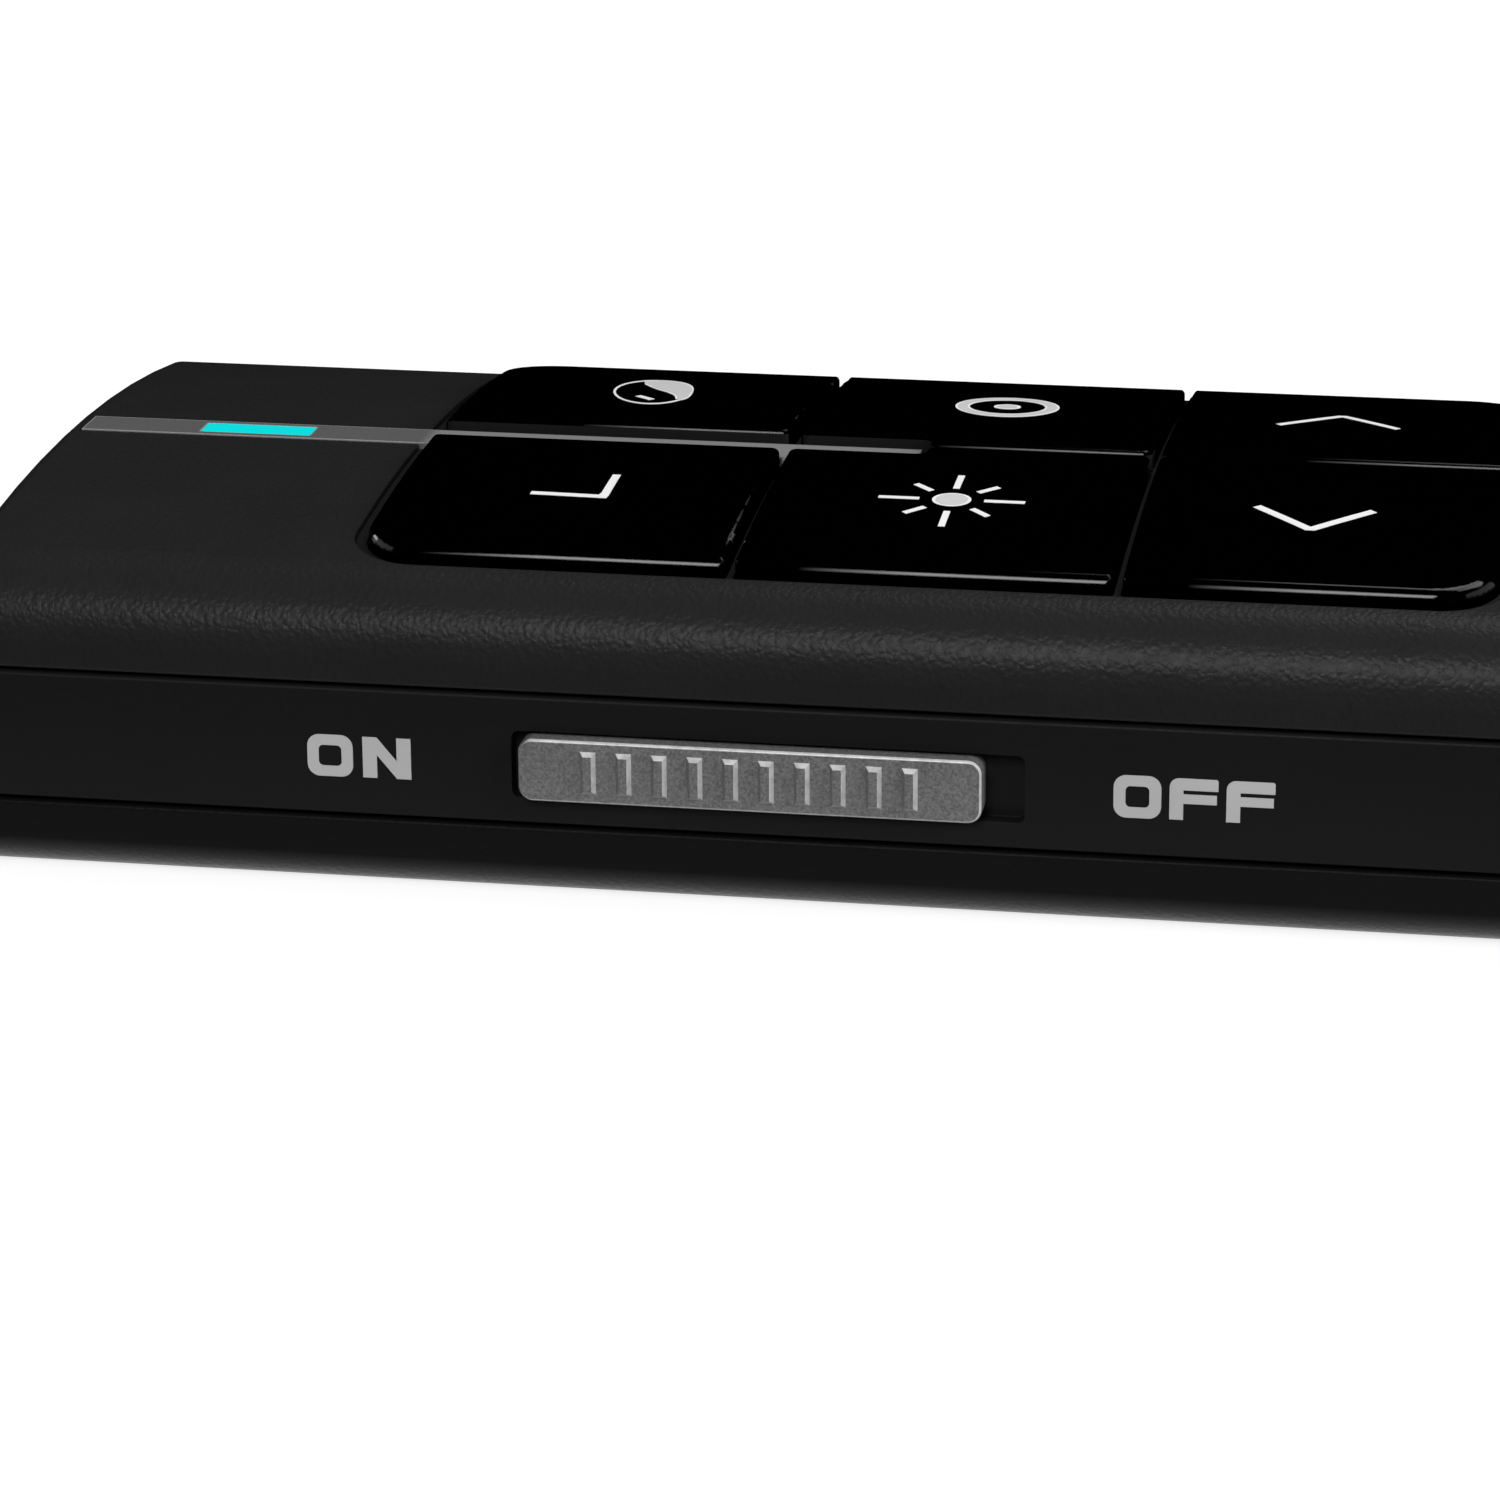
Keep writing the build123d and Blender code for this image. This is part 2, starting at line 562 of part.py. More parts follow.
def status_led():
    """Light under the far end of the light guide."""
    return block(WINDOW_X - 0.8, WINDOW_X + 0.8, 4.6, 6.2, BOARD_TOP, BOARD_TOP + 1.2)


def power_knob():
    """Outer slider knob with raised ribs and a stem through the band."""
    face_y = -SIDE - KNOB_PROUD
    back_y = -SIDE + SLOT_DEPTH - 0.05
    outline = RectangleRounded(KNOB_LENGTH, KNOB_HEIGHT, KNOB_CORNER)
    plane = Plane((KNOB_X, back_y, KNOB_Z), x_dir=(1, 0, 0), z_dir=(0, -1, 0))
    knob = extrude(plane * outline, back_y - face_y)
    front = knob.faces().sort_by(Axis.Y)[0]
    knob = fillet(front.outer_wire().edges(), KNOB_EDGE)
    for i in range(RIB_COUNT):
        x = KNOB_X + (i - (RIB_COUNT - 1) / 2) * RIB_PITCH
        knob += knob_rib(x, face_y)
    half = STEM_LENGTH / 2
    stem_z = STEM_HEIGHT / 2
    return knob + block(KNOB_X - half, KNOB_X + half, back_y, -SIDE + 2.4, KNOB_Z - stem_z, KNOB_Z + stem_z)


def knob_rib(x, face_y):
    """One raised rib with bevelled flanks."""
    foot = Plane((x, face_y, KNOB_Z), x_dir=(1, 0, 0), z_dir=(0, -1, 0)) * Rectangle(RIB_WIDTH, RIB_HEIGHT)
    return extrude(foot, RIB_PROUD, taper=RIB_SLOPE) + extrude(foot, -0.05)


def slider_yoke():
    """Plate inside the band that carries the stem and grips the switch lever."""
    y0 = -SIDE + WALL + 0.1
    stem = STEM_LENGTH / 2
    half = STEM_HEIGHT / 2
    yoke = block(KNOB_X - 3, KNOB_X + 3, y0, y0 + 0.9, KNOB_Z - 1.5, KNOB_Z + 0.85)
    yoke -= block(KNOB_X - stem, KNOB_X + stem, y0, y0 + 0.9, KNOB_Z - half, KNOB_Z + half)
    for side in (-1, 1):
        inner, outer = sorted((KNOB_X + side * 0.75, KNOB_X + side * 2.2))
        yoke += block(inner, outer, y0 + 0.9, y0 + 2.2, KNOB_Z - 0.75, KNOB_Z + 0.75)
    return yoke


def switch_lever():
    """Lever of the slide switch."""
    return block(KNOB_X - 0.75, KNOB_X + 0.75, -SIDE + 2.45, -SIDE + 5.5, KNOB_Z - 0.6, KNOB_Z + 0.6)


def power_switch_case():
    """Slide switch under the board, with a window for its lever."""
    y0 = -SIDE + 4.1
    bottom = BOARD_TOP - BOARD_THICK
    centre = KNOB_X + SLIDER_TRAVEL / 2
    case = block(centre - 4.4, centre + 4.4, y0, y0 + 3.5, 2.9, bottom)
    window = (SLIDER_TRAVEL + 1.5) / 2 + 0.15
    return case - block(centre - window, centre + window, y0, y0 + 1.8, KNOB_Z - 0.7, KNOB_Z + 0.7)


def laser_barrel():
    """Brass barrel of the pointer laser."""
    tube = rod_x(BARREL_RADIUS, BARREL_FRONT, BARREL_BACK, 0, AXIS_Z)
    tube -= rod_x(BARREL_BORE, BARREL_FRONT + 1, BARREL_BACK, 0, AXIS_Z)
    return tube - rod_x(1.4, BARREL_FRONT, BARREL_FRONT + 1, 0, AXIS_Z)


def laser_parts():
    """Lens and diode inside the barrel, the board at its back, its pins and the nose window."""
    pins = [rod_x(0.25, BARREL_BACK + 0.8, BARREL_BACK + 4.4, y, BOARD_TOP + 0.25) for y in (-1.2, 1.2)]
    return {
        "laser_lens": rod_x(BARREL_BORE, BARREL_FRONT + 1.0, BARREL_FRONT + 2.2, 0, AXIS_Z),
        "laser_diode": rod_x(BARREL_BORE, BARREL_BACK - 3.0, BARREL_BACK, 0, AXIS_Z),
        "laser_board": rod_x(2.8, BARREL_BACK, BARREL_BACK + 0.8, 0, AXIS_Z),
        "laser_pins": Compound(children=pins),
        "laser_window": rod_x(2.65, NOSE + 0.1, NOSE + 0.6, 0, AXIS_Z),
    }


def battery_parts():
    """AAA cell with its spring, its two contacts and the lead to the board."""
    cell_back = CELL_FRONT + CELL_LENGTH
    cell = fillet(rod_x(CELL_RADIUS, CELL_FRONT, cell_back, 0, CELL_Z).edges(), 0.4)
    cell += rod_x(NUB_RADIUS, cell_back, cell_back + NUB_LENGTH, 0, CELL_Z)
    plate = block(BAY_FRONT, BAY_FRONT + 0.3, -4.5, 4.5, 2.4, 10.4)
    tab = block(BAY_FRONT - 4.2, BAY_FRONT + 0.3, 2.0, 4.0, BOARD_TOP, BOARD_TOP + 0.3)
    back = cell_back + NUB_LENGTH
    positive = block(back, back + 0.3, -4.5, 4.5, 2.4, 10.0) + block(back, back + 0.3, 4.5, LEAD_Y + 0.6, 8.6, 10.0)
    return {
        "battery_cell": cell,
        "negative_contact": plate + tab,
        "positive_contact": positive,
        "battery_spring": battery_spring(),
        "battery_lead": battery_lead(back),
    }


def battery_spring():
    """Coil that pushes the cell forward."""
    wire = 0.3
    seat = BAY_FRONT + 0.3
    path = Helix(pitch=1.0, height=CELL_FRONT - seat - 2 * wire - 0.02, radius=2.8)
    coil = sweep(Plane(origin=path @ 0, z_dir=path % 0) * Circle(wire), path=path, is_frenet=True)
    return Pos(seat + wire + 0.01, 0, CELL_Z) * Rot(0, 90, 0) * coil


def battery_lead(back):
    """Insulated lead from the positive contact forward to the board."""
    low = BOARD_TOP + LEAD_RADIUS + 0.02
    points = [
        (back, LEAD_Y, LEAD_Z),
        (BAY_FRONT + 1.5, LEAD_Y, LEAD_Z),
        (BAY_FRONT - 2.5, LEAD_Y, low),
        (BAY_FRONT - 5.0, LEAD_Y, low),
    ]
    path = FilletPolyline(*points, radius=2.5)
    return sweep(Plane(origin=path @ 0, z_dir=path % 0) * Circle(LEAD_RADIUS), path=path)


def battery_door():
    """Flat cover that slides off towards the tail, with a finger grip."""
    half = DOOR_HALF_WIDTH
    door = block(DOOR_FRONT, TAIL, -half, half, 0, DOOR_THICK) & outer_hull()
    wide = half + DOOR_TONGUE
    door += block(DOOR_FRONT, TAIL - 1.0, -wide, wide, TONGUE_BOTTOM, DOOR_THICK)
    door += block(DOOR_FRONT - 1.0, DOOR_FRONT, -7, 7, TONGUE_BOTTOM, DOOR_THICK)
    door -= rounded_z(DOOR_FRONT + 5, DOOR_FRONT + 16, -6, 6, -1, 0.4, 2.0)
    for i in range(5):
        x = DOOR_FRONT + 6.9 + 1.8 * i
        door += block(x - 0.3, x + 0.3, -4.5, 4.5, 0.1, 0.5)
    return door


def receiver_parts():
    """USB receiver: hollow cap, small board, metal plug, tongue and four contacts."""
    cap = rounded_x(RECEIVER_FRONT, RECEIVER_BACK, RECEIVER_WIDTH / 2, RECEIVER_HEIGHT, 1.0)
    cap = fillet(cap.faces().sort_by(Axis.X)[-1].edges(), 0.4)
    cap -= block(RECEIVER_FRONT, RECEIVER_BACK - 1, -6, 6, AXIS_Z - 2, AXIS_Z + 2)
    for side in (-1, 1):
        for i in range(3):
            x = RECEIVER_BACK - 1.1 - 0.9 * i
            cap -= rod_z(0.25, x, side * RECEIVER_WIDTH / 2, AXIS_Z - 2, AXIS_Z + 2)
    plug_front = RECEIVER_FRONT - PLUG_LENGTH
    plug = rounded_x(plug_front, RECEIVER_FRONT, PLUG_WIDTH / 2, PLUG_HEIGHT, 0.4)
    plug -= rounded_x(plug_front, RECEIVER_FRONT, PLUG_WIDTH / 2 - PLUG_WALL, PLUG_HEIGHT - 2 * PLUG_WALL, 0.2)
    for side in (-1, 1):
        hole_x = plug_front + 5.5
        plug -= block(hole_x, hole_x + 2.5, side * 2.5 - 1, side * 2.5 + 1, AXIS_Z, AXIS_Z + 3)
    floor = AXIS_Z - PLUG_HEIGHT / 2 + PLUG_WALL
    tongue_top = floor + 1.8
    half = PLUG_WIDTH / 2 - PLUG_WALL - 0.2
    pads = [
        block(plug_front + 1, plug_front + 8, y - 0.5, y + 0.5, tongue_top, tongue_top + 0.15)
        for y in (-3.5, -1.0, 1.0, 3.5)
    ]
    return {
        "receiver_cap": cap,
        "receiver_plug": plug,
        "receiver_tongue": block(plug_front + 0.5, RECEIVER_FRONT, -half, half, floor, tongue_top),
        "receiver_contacts": Compound(children=pads),
        "receiver_board": block(RECEIVER_FRONT, RECEIVER_BACK - 1.6, -5.5, 5.5, AXIS_Z - 0.4, AXIS_Z + 0.4),
    }


def housing_screws():
    """Four cross-head screws from the base up into the bosses."""
    screws = []
    for x, y in SCREWS:
        bottom = 0.1
        seat = SCREW_HEAD_HEIGHT + 0.1
        screw = rod_z(SCREW_HEAD_RADIUS, x, y, bottom, seat) + rod_z(SCREW_SHANK_RADIUS, x, y, seat, SCREW_TOP)
        for length, width in ((1.8, 0.4), (0.4, 1.8)):
            screw -= block(x - length / 2, x + length / 2, y - width / 2, y + width / 2, 0, 0.5)
        screws.append(screw)
    return Compound(children=screws)


KEYS = {
    "toggle": (0, 1),
    "enter": (0, -1),
    "laser": (1, 1),
    "light": (1, -1),
    "up": (2, 1),
    "down": (2, -1),
}

parts = {
    "top_shell": top_shell(),
    "middle_frame": middle_frame(),
    "bottom_shell": bottom_shell(),
    "battery_door": battery_door(),
    "keypad_bezel": keypad_bezel(),
    "center_strip": center_strip(),
    "light_guide": light_guide(),
    "tact_switches": tact_switches(),
    "circuit_board": circuit_board(),
    "board_screws": board_screws(),
    "radio_chip": radio_chip(),
    "crystal_can": crystal_can(),
    "chip_capacitors": chip_capacitors(),
    "status_led": status_led(),
    "power_knob": power_knob(),
    "slider_yoke": slider_yoke(),
    "switch_lever": switch_lever(),
    "power_switch_case": power_switch_case(),
    "laser_barrel": laser_barrel(),
    "housing_screws": housing_screws(),
}
parts.update(laser_parts())
parts.update(battery_parts())
parts.update(receiver_parts())
for name, (column, side) in KEYS.items():
    parts[f"key_{name}"] = key(column, side)
    parts[f"plunger_{name}"] = plunger(column, side)

for name, shape in parts.items():
    export_step(shape, f"parts/{name}.step")
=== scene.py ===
"""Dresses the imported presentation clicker: materials, printed symbols, stage, lights and camera.

Drawing sizes are in millimetres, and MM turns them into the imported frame's metres. The symbols' x is counted from
FIRST_GAP, and they stand in the frame's own y and z.
"""

import json
import math

import bmesh
import bpy
from mathutils import Matrix, Vector


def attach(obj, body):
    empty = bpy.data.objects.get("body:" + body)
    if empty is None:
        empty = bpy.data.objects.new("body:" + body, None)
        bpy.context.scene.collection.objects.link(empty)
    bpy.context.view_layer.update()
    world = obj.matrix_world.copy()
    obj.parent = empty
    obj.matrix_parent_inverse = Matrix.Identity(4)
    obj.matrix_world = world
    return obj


MM = 0.001

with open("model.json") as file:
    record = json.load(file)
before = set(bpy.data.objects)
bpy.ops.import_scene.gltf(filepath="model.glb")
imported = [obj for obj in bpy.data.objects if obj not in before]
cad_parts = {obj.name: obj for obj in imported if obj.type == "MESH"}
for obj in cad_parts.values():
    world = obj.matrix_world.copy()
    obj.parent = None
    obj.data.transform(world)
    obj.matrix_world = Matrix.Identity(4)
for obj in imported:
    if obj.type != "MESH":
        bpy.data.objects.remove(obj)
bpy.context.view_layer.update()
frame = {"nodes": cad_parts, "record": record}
nodes = frame["nodes"]

# The body, as the part is made
CROWN_RADIUS = 94.5
HEIGHT = 13.2
KEY_PROUD = 0.53  # the keys' height above the crown
FIRST_GAP = -38.4  # middle of the gap between the first two columns of keys
COLUMN_PITCH = 14.5
STRIP_MOUTH = FIRST_GAP - 14.9  # where the strip runs in between the keys
# The strip's painted highlight between the keys comes in over this length.
STRIP_FADE = 0.6  # length over which it turns lighter there
CENTRE_WALLS = 1.3  # the keys' walls next to the strip are nearer than this to the centre line
KEYPAD_CORNERS = 11.0  # the keypad's corners are further than this from the centre line
SIDE_FACE = -16.5

# Printed ink
INK = 0.012  # thickness above the surface
INK_FOOT = 0.02  # how deep the closed underside lies in the surface
INK_OVERLAP = 0.003  # how far ink on ink stands above the first
RIM = 0.09  # width of the lighter rim round a large inked area
STEP = 0.3  # length of the pieces that a line is cut into to follow the crown
MITRE_LIMIT = 0.3  # least cosine of half a corner's turn, which keeps a sharp mitre short
FINE = 16  # columns across a broad piece of ink

# Camera, with its angles in degrees
CAMERA_PLACE = (-3.649, -201.976, 70.19)
CAMERA_AZIMUTH = 10.234
CAMERA_ELEVATION = 18.718
CAMERA_ROLL = -0.416
CAMERA_LENS = 128.85
CAMERA_SENSOR = 36

# Materials
NOISE = (0.3, 0.7)  # where nearly all values of a noise lie
FAR_DELAY = 0.22  # share of a column by which the keys' clear coat comes in later beyond the strip


# ---------------------------------------------------------------- camera


def add_camera():
    """Long lens, low and to the right, on the front half of the object."""
    azimuth = math.radians(CAMERA_AZIMUTH)
    elevation = math.radians(CAMERA_ELEVATION)
    roll = math.radians(CAMERA_ROLL)
    back = Vector(
        (
            math.sin(azimuth) * math.cos(elevation),
            -math.cos(azimuth) * math.cos(elevation),
            math.sin(elevation),
        )
    )
    level = Vector((math.cos(azimuth), math.sin(azimuth), 0))
    upright = back.cross(level)
    right = math.cos(roll) * level + math.sin(roll) * upright
    up = back.cross(right)
    data = bpy.data.cameras.new("camera")
    data.lens = CAMERA_LENS
    data.sensor_width = CAMERA_SENSOR
    data.clip_start = 0.01
    data.clip_end = 20
    camera = bpy.data.objects.new("camera", data)
    matrix = Matrix((right, up, back)).transposed().to_4x4()
    matrix.translation = Vector(CAMERA_PLACE) * MM
    camera.matrix_world = matrix
    bpy.context.scene.collection.objects.link(camera)
    bpy.context.scene.camera = camera


# ---------------------------------------------------------------- shader steps


def node_of(tree, kind, operation=None, **settings):
    """A new shader node with its operation, and with its sockets set by name."""
    node = tree.nodes.new(kind)
    if operation:
        node.operation = operation
    for name, value in settings.items():
        node.inputs[name.replace("_", " ")].default_value = value
    return node


def coordinates(tree, kind):
    """X, Y and Z of a point's place (Object) or of the surface's direction there (Normal), in the part's frame."""
    source = tree.nodes.new("ShaderNodeTexCoord")
    split = tree.nodes.new("ShaderNodeSeparateXYZ")
    tree.links.new(source.outputs[kind], split.inputs["Vector"])
    return split.outputs


def mapped(tree, value, source, target=(0, 1)):
    """A value carried over from one range to another and held at its ends; a range may run downwards."""
    spread = node_of(
        tree,
        "ShaderNodeMapRange",
        From_Min=source[0],
        From_Max=source[1],
        To_Min=target[0],
        To_Max=target[1],
    )
    tree.links.new(value, spread.inputs["Value"])
    return spread.outputs["Result"]


def computed(tree, operation, first, second=None):
    """One arithmetic step; the second operand may be a number or a socket."""
    step = node_of(tree, "ShaderNodeMath", operation)
    tree.links.new(first, step.inputs[0])
    if isinstance(second, (int, float)):
        step.inputs[1].default_value = second
    elif second:
        tree.links.new(second, step.inputs[1])
    return step.outputs["Value"]


def product(tree, first, *others):
    """Several factors multiplied; all but the first may be numbers."""
    for other in others:
        first = computed(tree, "MULTIPLY", first, other)
    return first


def sampled(tree, scale, detail=2.0, stretch=(1, 1, 1)):
    """Noise over the part's own coordinates."""
    place = tree.nodes.new("ShaderNodeTexCoord")
    spread = node_of(tree, "ShaderNodeMapping", Scale=stretch)
    noise = node_of(tree, "ShaderNodeTexNoise", Scale=scale, Detail=detail)
    tree.links.new(place.outputs["Object"], spread.inputs["Vector"])
    tree.links.new(spread.outputs["Vector"], noise.inputs["Vector"])
    return noise.outputs["Fac"]


def pebbled(tree):
    """Rounded cells of uneven size with creases between them."""
    place = tree.nodes.new("ShaderNodeTexCoord")
    warp = node_of(tree, "ShaderNodeTexNoise", Scale=2600, Detail=2)
    bend = node_of(tree, "ShaderNodeVectorMath", "MULTIPLY_ADD")
    bend.inputs[1].default_value = (0.3 * MM, 0.3 * MM, 0.3 * MM)
    cells = node_of(tree, "ShaderNodeTexVoronoi", Scale=4600)
    cells.feature = "SMOOTH_F1"
    cells.inputs["Smoothness"].default_value = 0.5
    tree.links.new(place.outputs["Object"], warp.inputs["Vector"])
    tree.links.new(warp.outputs["Color"], bend.inputs[0])
    tree.links.new(place.outputs["Object"], bend.inputs[2])
    tree.links.new(bend.outputs["Vector"], cells.inputs["Vector"])
    return cells.outputs["Distance"]


def softened(tree, radius):
    """Edges that catch light as if rounded by a radius."""
    bevel = node_of(tree, "ShaderNodeBevel", Radius=radius * MM)
    bevel.samples = 6
    return bevel.outputs["Normal"]


def edge_mask(tree, radius):
    """One along edges and corners, where rounding by a radius would turn the surface, and nought elsewhere.

    The range is of the cosine between the rounded surface's direction and its own.
    """
    bevel = node_of(tree, "ShaderNodeBevel", Radius=radius * MM)
    bevel.samples = 8
    plain = tree.nodes.new("ShaderNodeNewGeometry")
    likeness = node_of(tree, "ShaderNodeVectorMath", "DOT_PRODUCT")
    tree.links.new(bevel.outputs["Normal"], likeness.inputs[0])
    tree.links.new(plain.outputs["True Normal"], likeness.inputs[1])
    return mapped(tree, likeness.outputs["Value"], (0.995, 0.93))


# ---------------------------------------------------------------- materials


def surface(
    name,
    colour,
    roughness,
    specular=0.5,
    metallic=0.0,
    spread=0.08,
    grain=4000,
    depth=0.004,
    vary=0.1,
    edge=0.06,
    stretch=(1, 1, 1),
    relief=None,
):
    """A Principled material with slightly uneven colour, uneven roughness, and relief.

    The relief is fine grain unless a function gives another; its depth and the radius of soft edges are in mm.
    """
    material = bpy.data.materials.new(name)
    material.use_nodes = True
    tree = material.node_tree
    shader = tree.nodes["Principled BSDF"]
    shader.inputs["Metallic"].default_value = metallic
    shader.inputs["Specular IOR Level"].default_value = specular
    mix = tree.nodes.new("ShaderNodeMix")
    mix.data_type = "RGBA"
    mix.inputs["A"].default_value = (*(c * (1 - vary) for c in colour), 1)
    mix.inputs["B"].default_value = (*(c * (1 + vary) for c in colour), 1)
    tree.links.new(mapped(tree, sampled(tree, 260, 4.0), NOISE), mix.inputs["Factor"])
    tree.links.new(mix.outputs["Result"], shader.inputs["Base Color"])
    fine = sampled(tree, grain, stretch=stretch)
    uneven = mapped(tree, fine, NOISE, (roughness - spread, roughness + spread))
    tree.links.new(uneven, shader.inputs["Roughness"])
    bump = node_of(tree, "ShaderNodeBump", Strength=1.0, Distance=depth * MM)
    tree.links.new(relief(tree) if relief else fine, bump.inputs["Height"])
    if edge:
        tree.links.new(softened(tree, edge), bump.inputs["Normal"])
    tree.links.new(bump.outputs["Normal"], shader.inputs["Normal"])
    return material


def tinted(tree, factor, colour):
    """Lay a second colour over a material's own where a factor says."""
    shader = tree.nodes["Principled BSDF"]
    own = shader.inputs["Base Color"].links[0].from_socket
    mix = tree.nodes.new("ShaderNodeMix")
    mix.data_type = "RGBA"
    mix.inputs["B"].default_value = (*colour, 1)
    tree.links.new(own, mix.inputs["A"])
    tree.links.new(factor, mix.inputs["Factor"])
    tree.links.new(mix.outputs["Result"], shader.inputs["Base Color"])


def satin_strip(name, colour, inner, rim):
    """Satin grey with painted highlights: its edges are painted lighter, and it is painted lighter altogether
    between the keys.
    """
    material = surface(name, colour, 0.4, 0.1, depth=0.0008, vary=0.02, edge=0.03)
    tree = material.node_tree
    # Painted highlight along the strip's edges.
    tinted(tree, edge_mask(tree, 0.12), rim)
    mouth = (STRIP_MOUTH * MM, (STRIP_MOUTH + STRIP_FADE) * MM)
    # Painted highlight: the strip turns lighter where it runs in between the keys.
    tinted(tree, mapped(tree, coordinates(tree, "Object")["X"], mouth), inner)
    return material


def blasted(name, colour, speck, rim):
    """Sand-blasted plastic with light and dark specks.

    Its bevels that face up, down and towards the tail are painted lighter, a painted highlight of the light from
    above and from the tail's side, and are made smoother; the ones towards the nose stay dark.
    """
    material = surface(name, colour, 0.42, 0.7, grain=9000, depth=0.008)
    tree = material.node_tree
    shader = tree.nodes["Principled BSDF"]
    tinted(tree, mapped(tree, sampled(tree, 11000), NOISE, (0, 0.8)), speck)
    facing = coordinates(tree, "Normal")
    bevels = product(
        tree,
        mapped(tree, facing["Y"], (-0.97, -0.9)),
        mapped(tree, facing["Y"], (-0.15, -0.3)),
        mapped(tree, facing["X"], (-0.4, -0.1)),
        mapped(tree, facing["X"], (1.6, 0.4)),
        mapped(tree, sampled(tree, 3000), NOISE, (0.6, 1)),
    )
    # Painted highlight: the bevels facing up, down and towards the tail are painted lighter.
    tinted(tree, bevels, rim)
    smoother_bevels = tree.nodes.new("ShaderNodeMix")
    smoother_bevels.inputs["B"].default_value = 0.25
    tree.links.new(bevels, smoother_bevels.inputs["Factor"])
    tree.links.new(shader.inputs["Roughness"].links[0].from_socket, smoother_bevels.inputs["A"])
    tree.links.new(smoother_bevels.outputs["Result"], shader.inputs["Roughness"])
    return material


def leather(name, colour, roughness, specular, depth):
    """Moulded plastic with a pebbled grain, whose creases are a depth below its cells."""
    return surface(
        name,
        colour,
        roughness,
        specular,
        spread=0.05,
        depth=-depth,
        vary=0.05,
        edge=0.08,
        relief=pebbled,
    )


def smooth_foot(material, weight):
    """Rubbed smooth where the casing rounds under to its base."""
    tree = material.node_tree
    shader = tree.nodes["Principled BSDF"]
    facing = coordinates(tree, "Normal")["Z"]
    below, beside = mapped(tree, facing, (-0.15, -0.6)), mapped(tree, facing, (-0.99, -0.93))
    tree.links.new(product(tree, below, beside, weight), shader.inputs["Coat Weight"])
    shader.inputs["Coat Roughness"].default_value = 0.3
    tree.links.new(shader.inputs["Normal"].links[0].from_socket, shader.inputs["Coat Normal"])


def polish(tree):
    """How much of the keys' clear coat shows.

    It fades on the upright walls and on the rounds between the columns, and stays at the keypad's corners. Along
    each key's long rims it comes in softly, and later beyond the strip than on the slider's side.
    """
    place = coordinates(tree, "Object")
    facing = coordinates(tree, "Normal")
    endwise = computed(tree, "ABSOLUTE", facing["X"])
    sideways = computed(tree, "ABSOLUTE", facing["Y"])
    from_start = computed(tree, "SUBTRACT", place["X"], (FIRST_GAP - COLUMN_PITCH) * MM)
    along = computed(tree, "FRACT", computed(tree, "DIVIDE", from_start, COLUMN_PITCH * MM))
    later = product(tree, computed(tree, "GREATER_THAN", place["Y"], 0.0), FAR_DELAY)
    coming = mapped(tree, computed(tree, "SUBTRACT", along, later), (0.18, 0.5))
    rim = computed(tree, "MAXIMUM", coming, mapped(tree, sideways, (0.3, 0.2)))
    straight = product(tree, mapped(tree, endwise, (0.45, 0.1)), rim)
    outer = computed(tree, "GREATER_THAN", computed(tree, "ABSOLUTE", place["Y"]), KEYPAD_CORNERS * MM)
    turned = product(tree, mapped(tree, sideways, (0.2, 0.35)), mapped(tree, endwise, (0.12, 0.3)))
    shown = computed(tree, "MAXIMUM", straight, product(tree, turned, outer))
    return product(tree, mapped(tree, facing["Z"], (0.05, 0.3)), shown)


def centre_walls(tree):
    """One on the keys' upright walls next to the strip, where the strip's reflection is painted."""
    distance = computed(tree, "ABSOLUTE", coordinates(tree, "Object")["Y"])
    near = computed(tree, "LESS_THAN", distance, CENTRE_WALLS * MM)
    upright = computed(tree, "LESS_THAN", coordinates(tree, "Normal")["Z"], 0.2)
    return product(tree, near, upright)


def lacquer(name, colour, painted_strip_reflection, weight):
    """Matt black plastic with a clear coat; its upright walls next to the strip are painted grey, a painted
    reflection of the strip.
    """
    material = surface(name, colour, 0.6, 0.0, spread=0.02, depth=0.0, edge=0.0)
    tree = material.node_tree
    shader = tree.nodes["Principled BSDF"]
    tree.links.new(product(tree, polish(tree), weight), shader.inputs["Coat Weight"])
    shader.inputs["Coat Roughness"].default_value = 0.03
    tree.links.new(softened(tree, 0.12), shader.inputs["Coat Normal"])
    # Painted reflection: the walls next to the strip are painted grey as if they mirrored it.
    tinted(tree, centre_walls(tree), painted_strip_reflection)
    return material


def lit(name, colour, glow, strength):
    """Clear plastic lit from inside."""
    material = surface(name, colour, 0.25, 0.1, depth=0.0, edge=0.0)
    shader = material.node_tree.nodes["Principled BSDF"]
    shader.inputs["Emission Color"].default_value = (*glow, 1)
    shader.inputs["Emission Strength"].default_value = strength
    return material


def metal(name, colour, roughness, **detail):
    """Bare metal."""
    return surface(name, colour, roughness, metallic=1.0, **detail)


def grey(value):
    """A colour without a hue."""
    return (value, value, value)


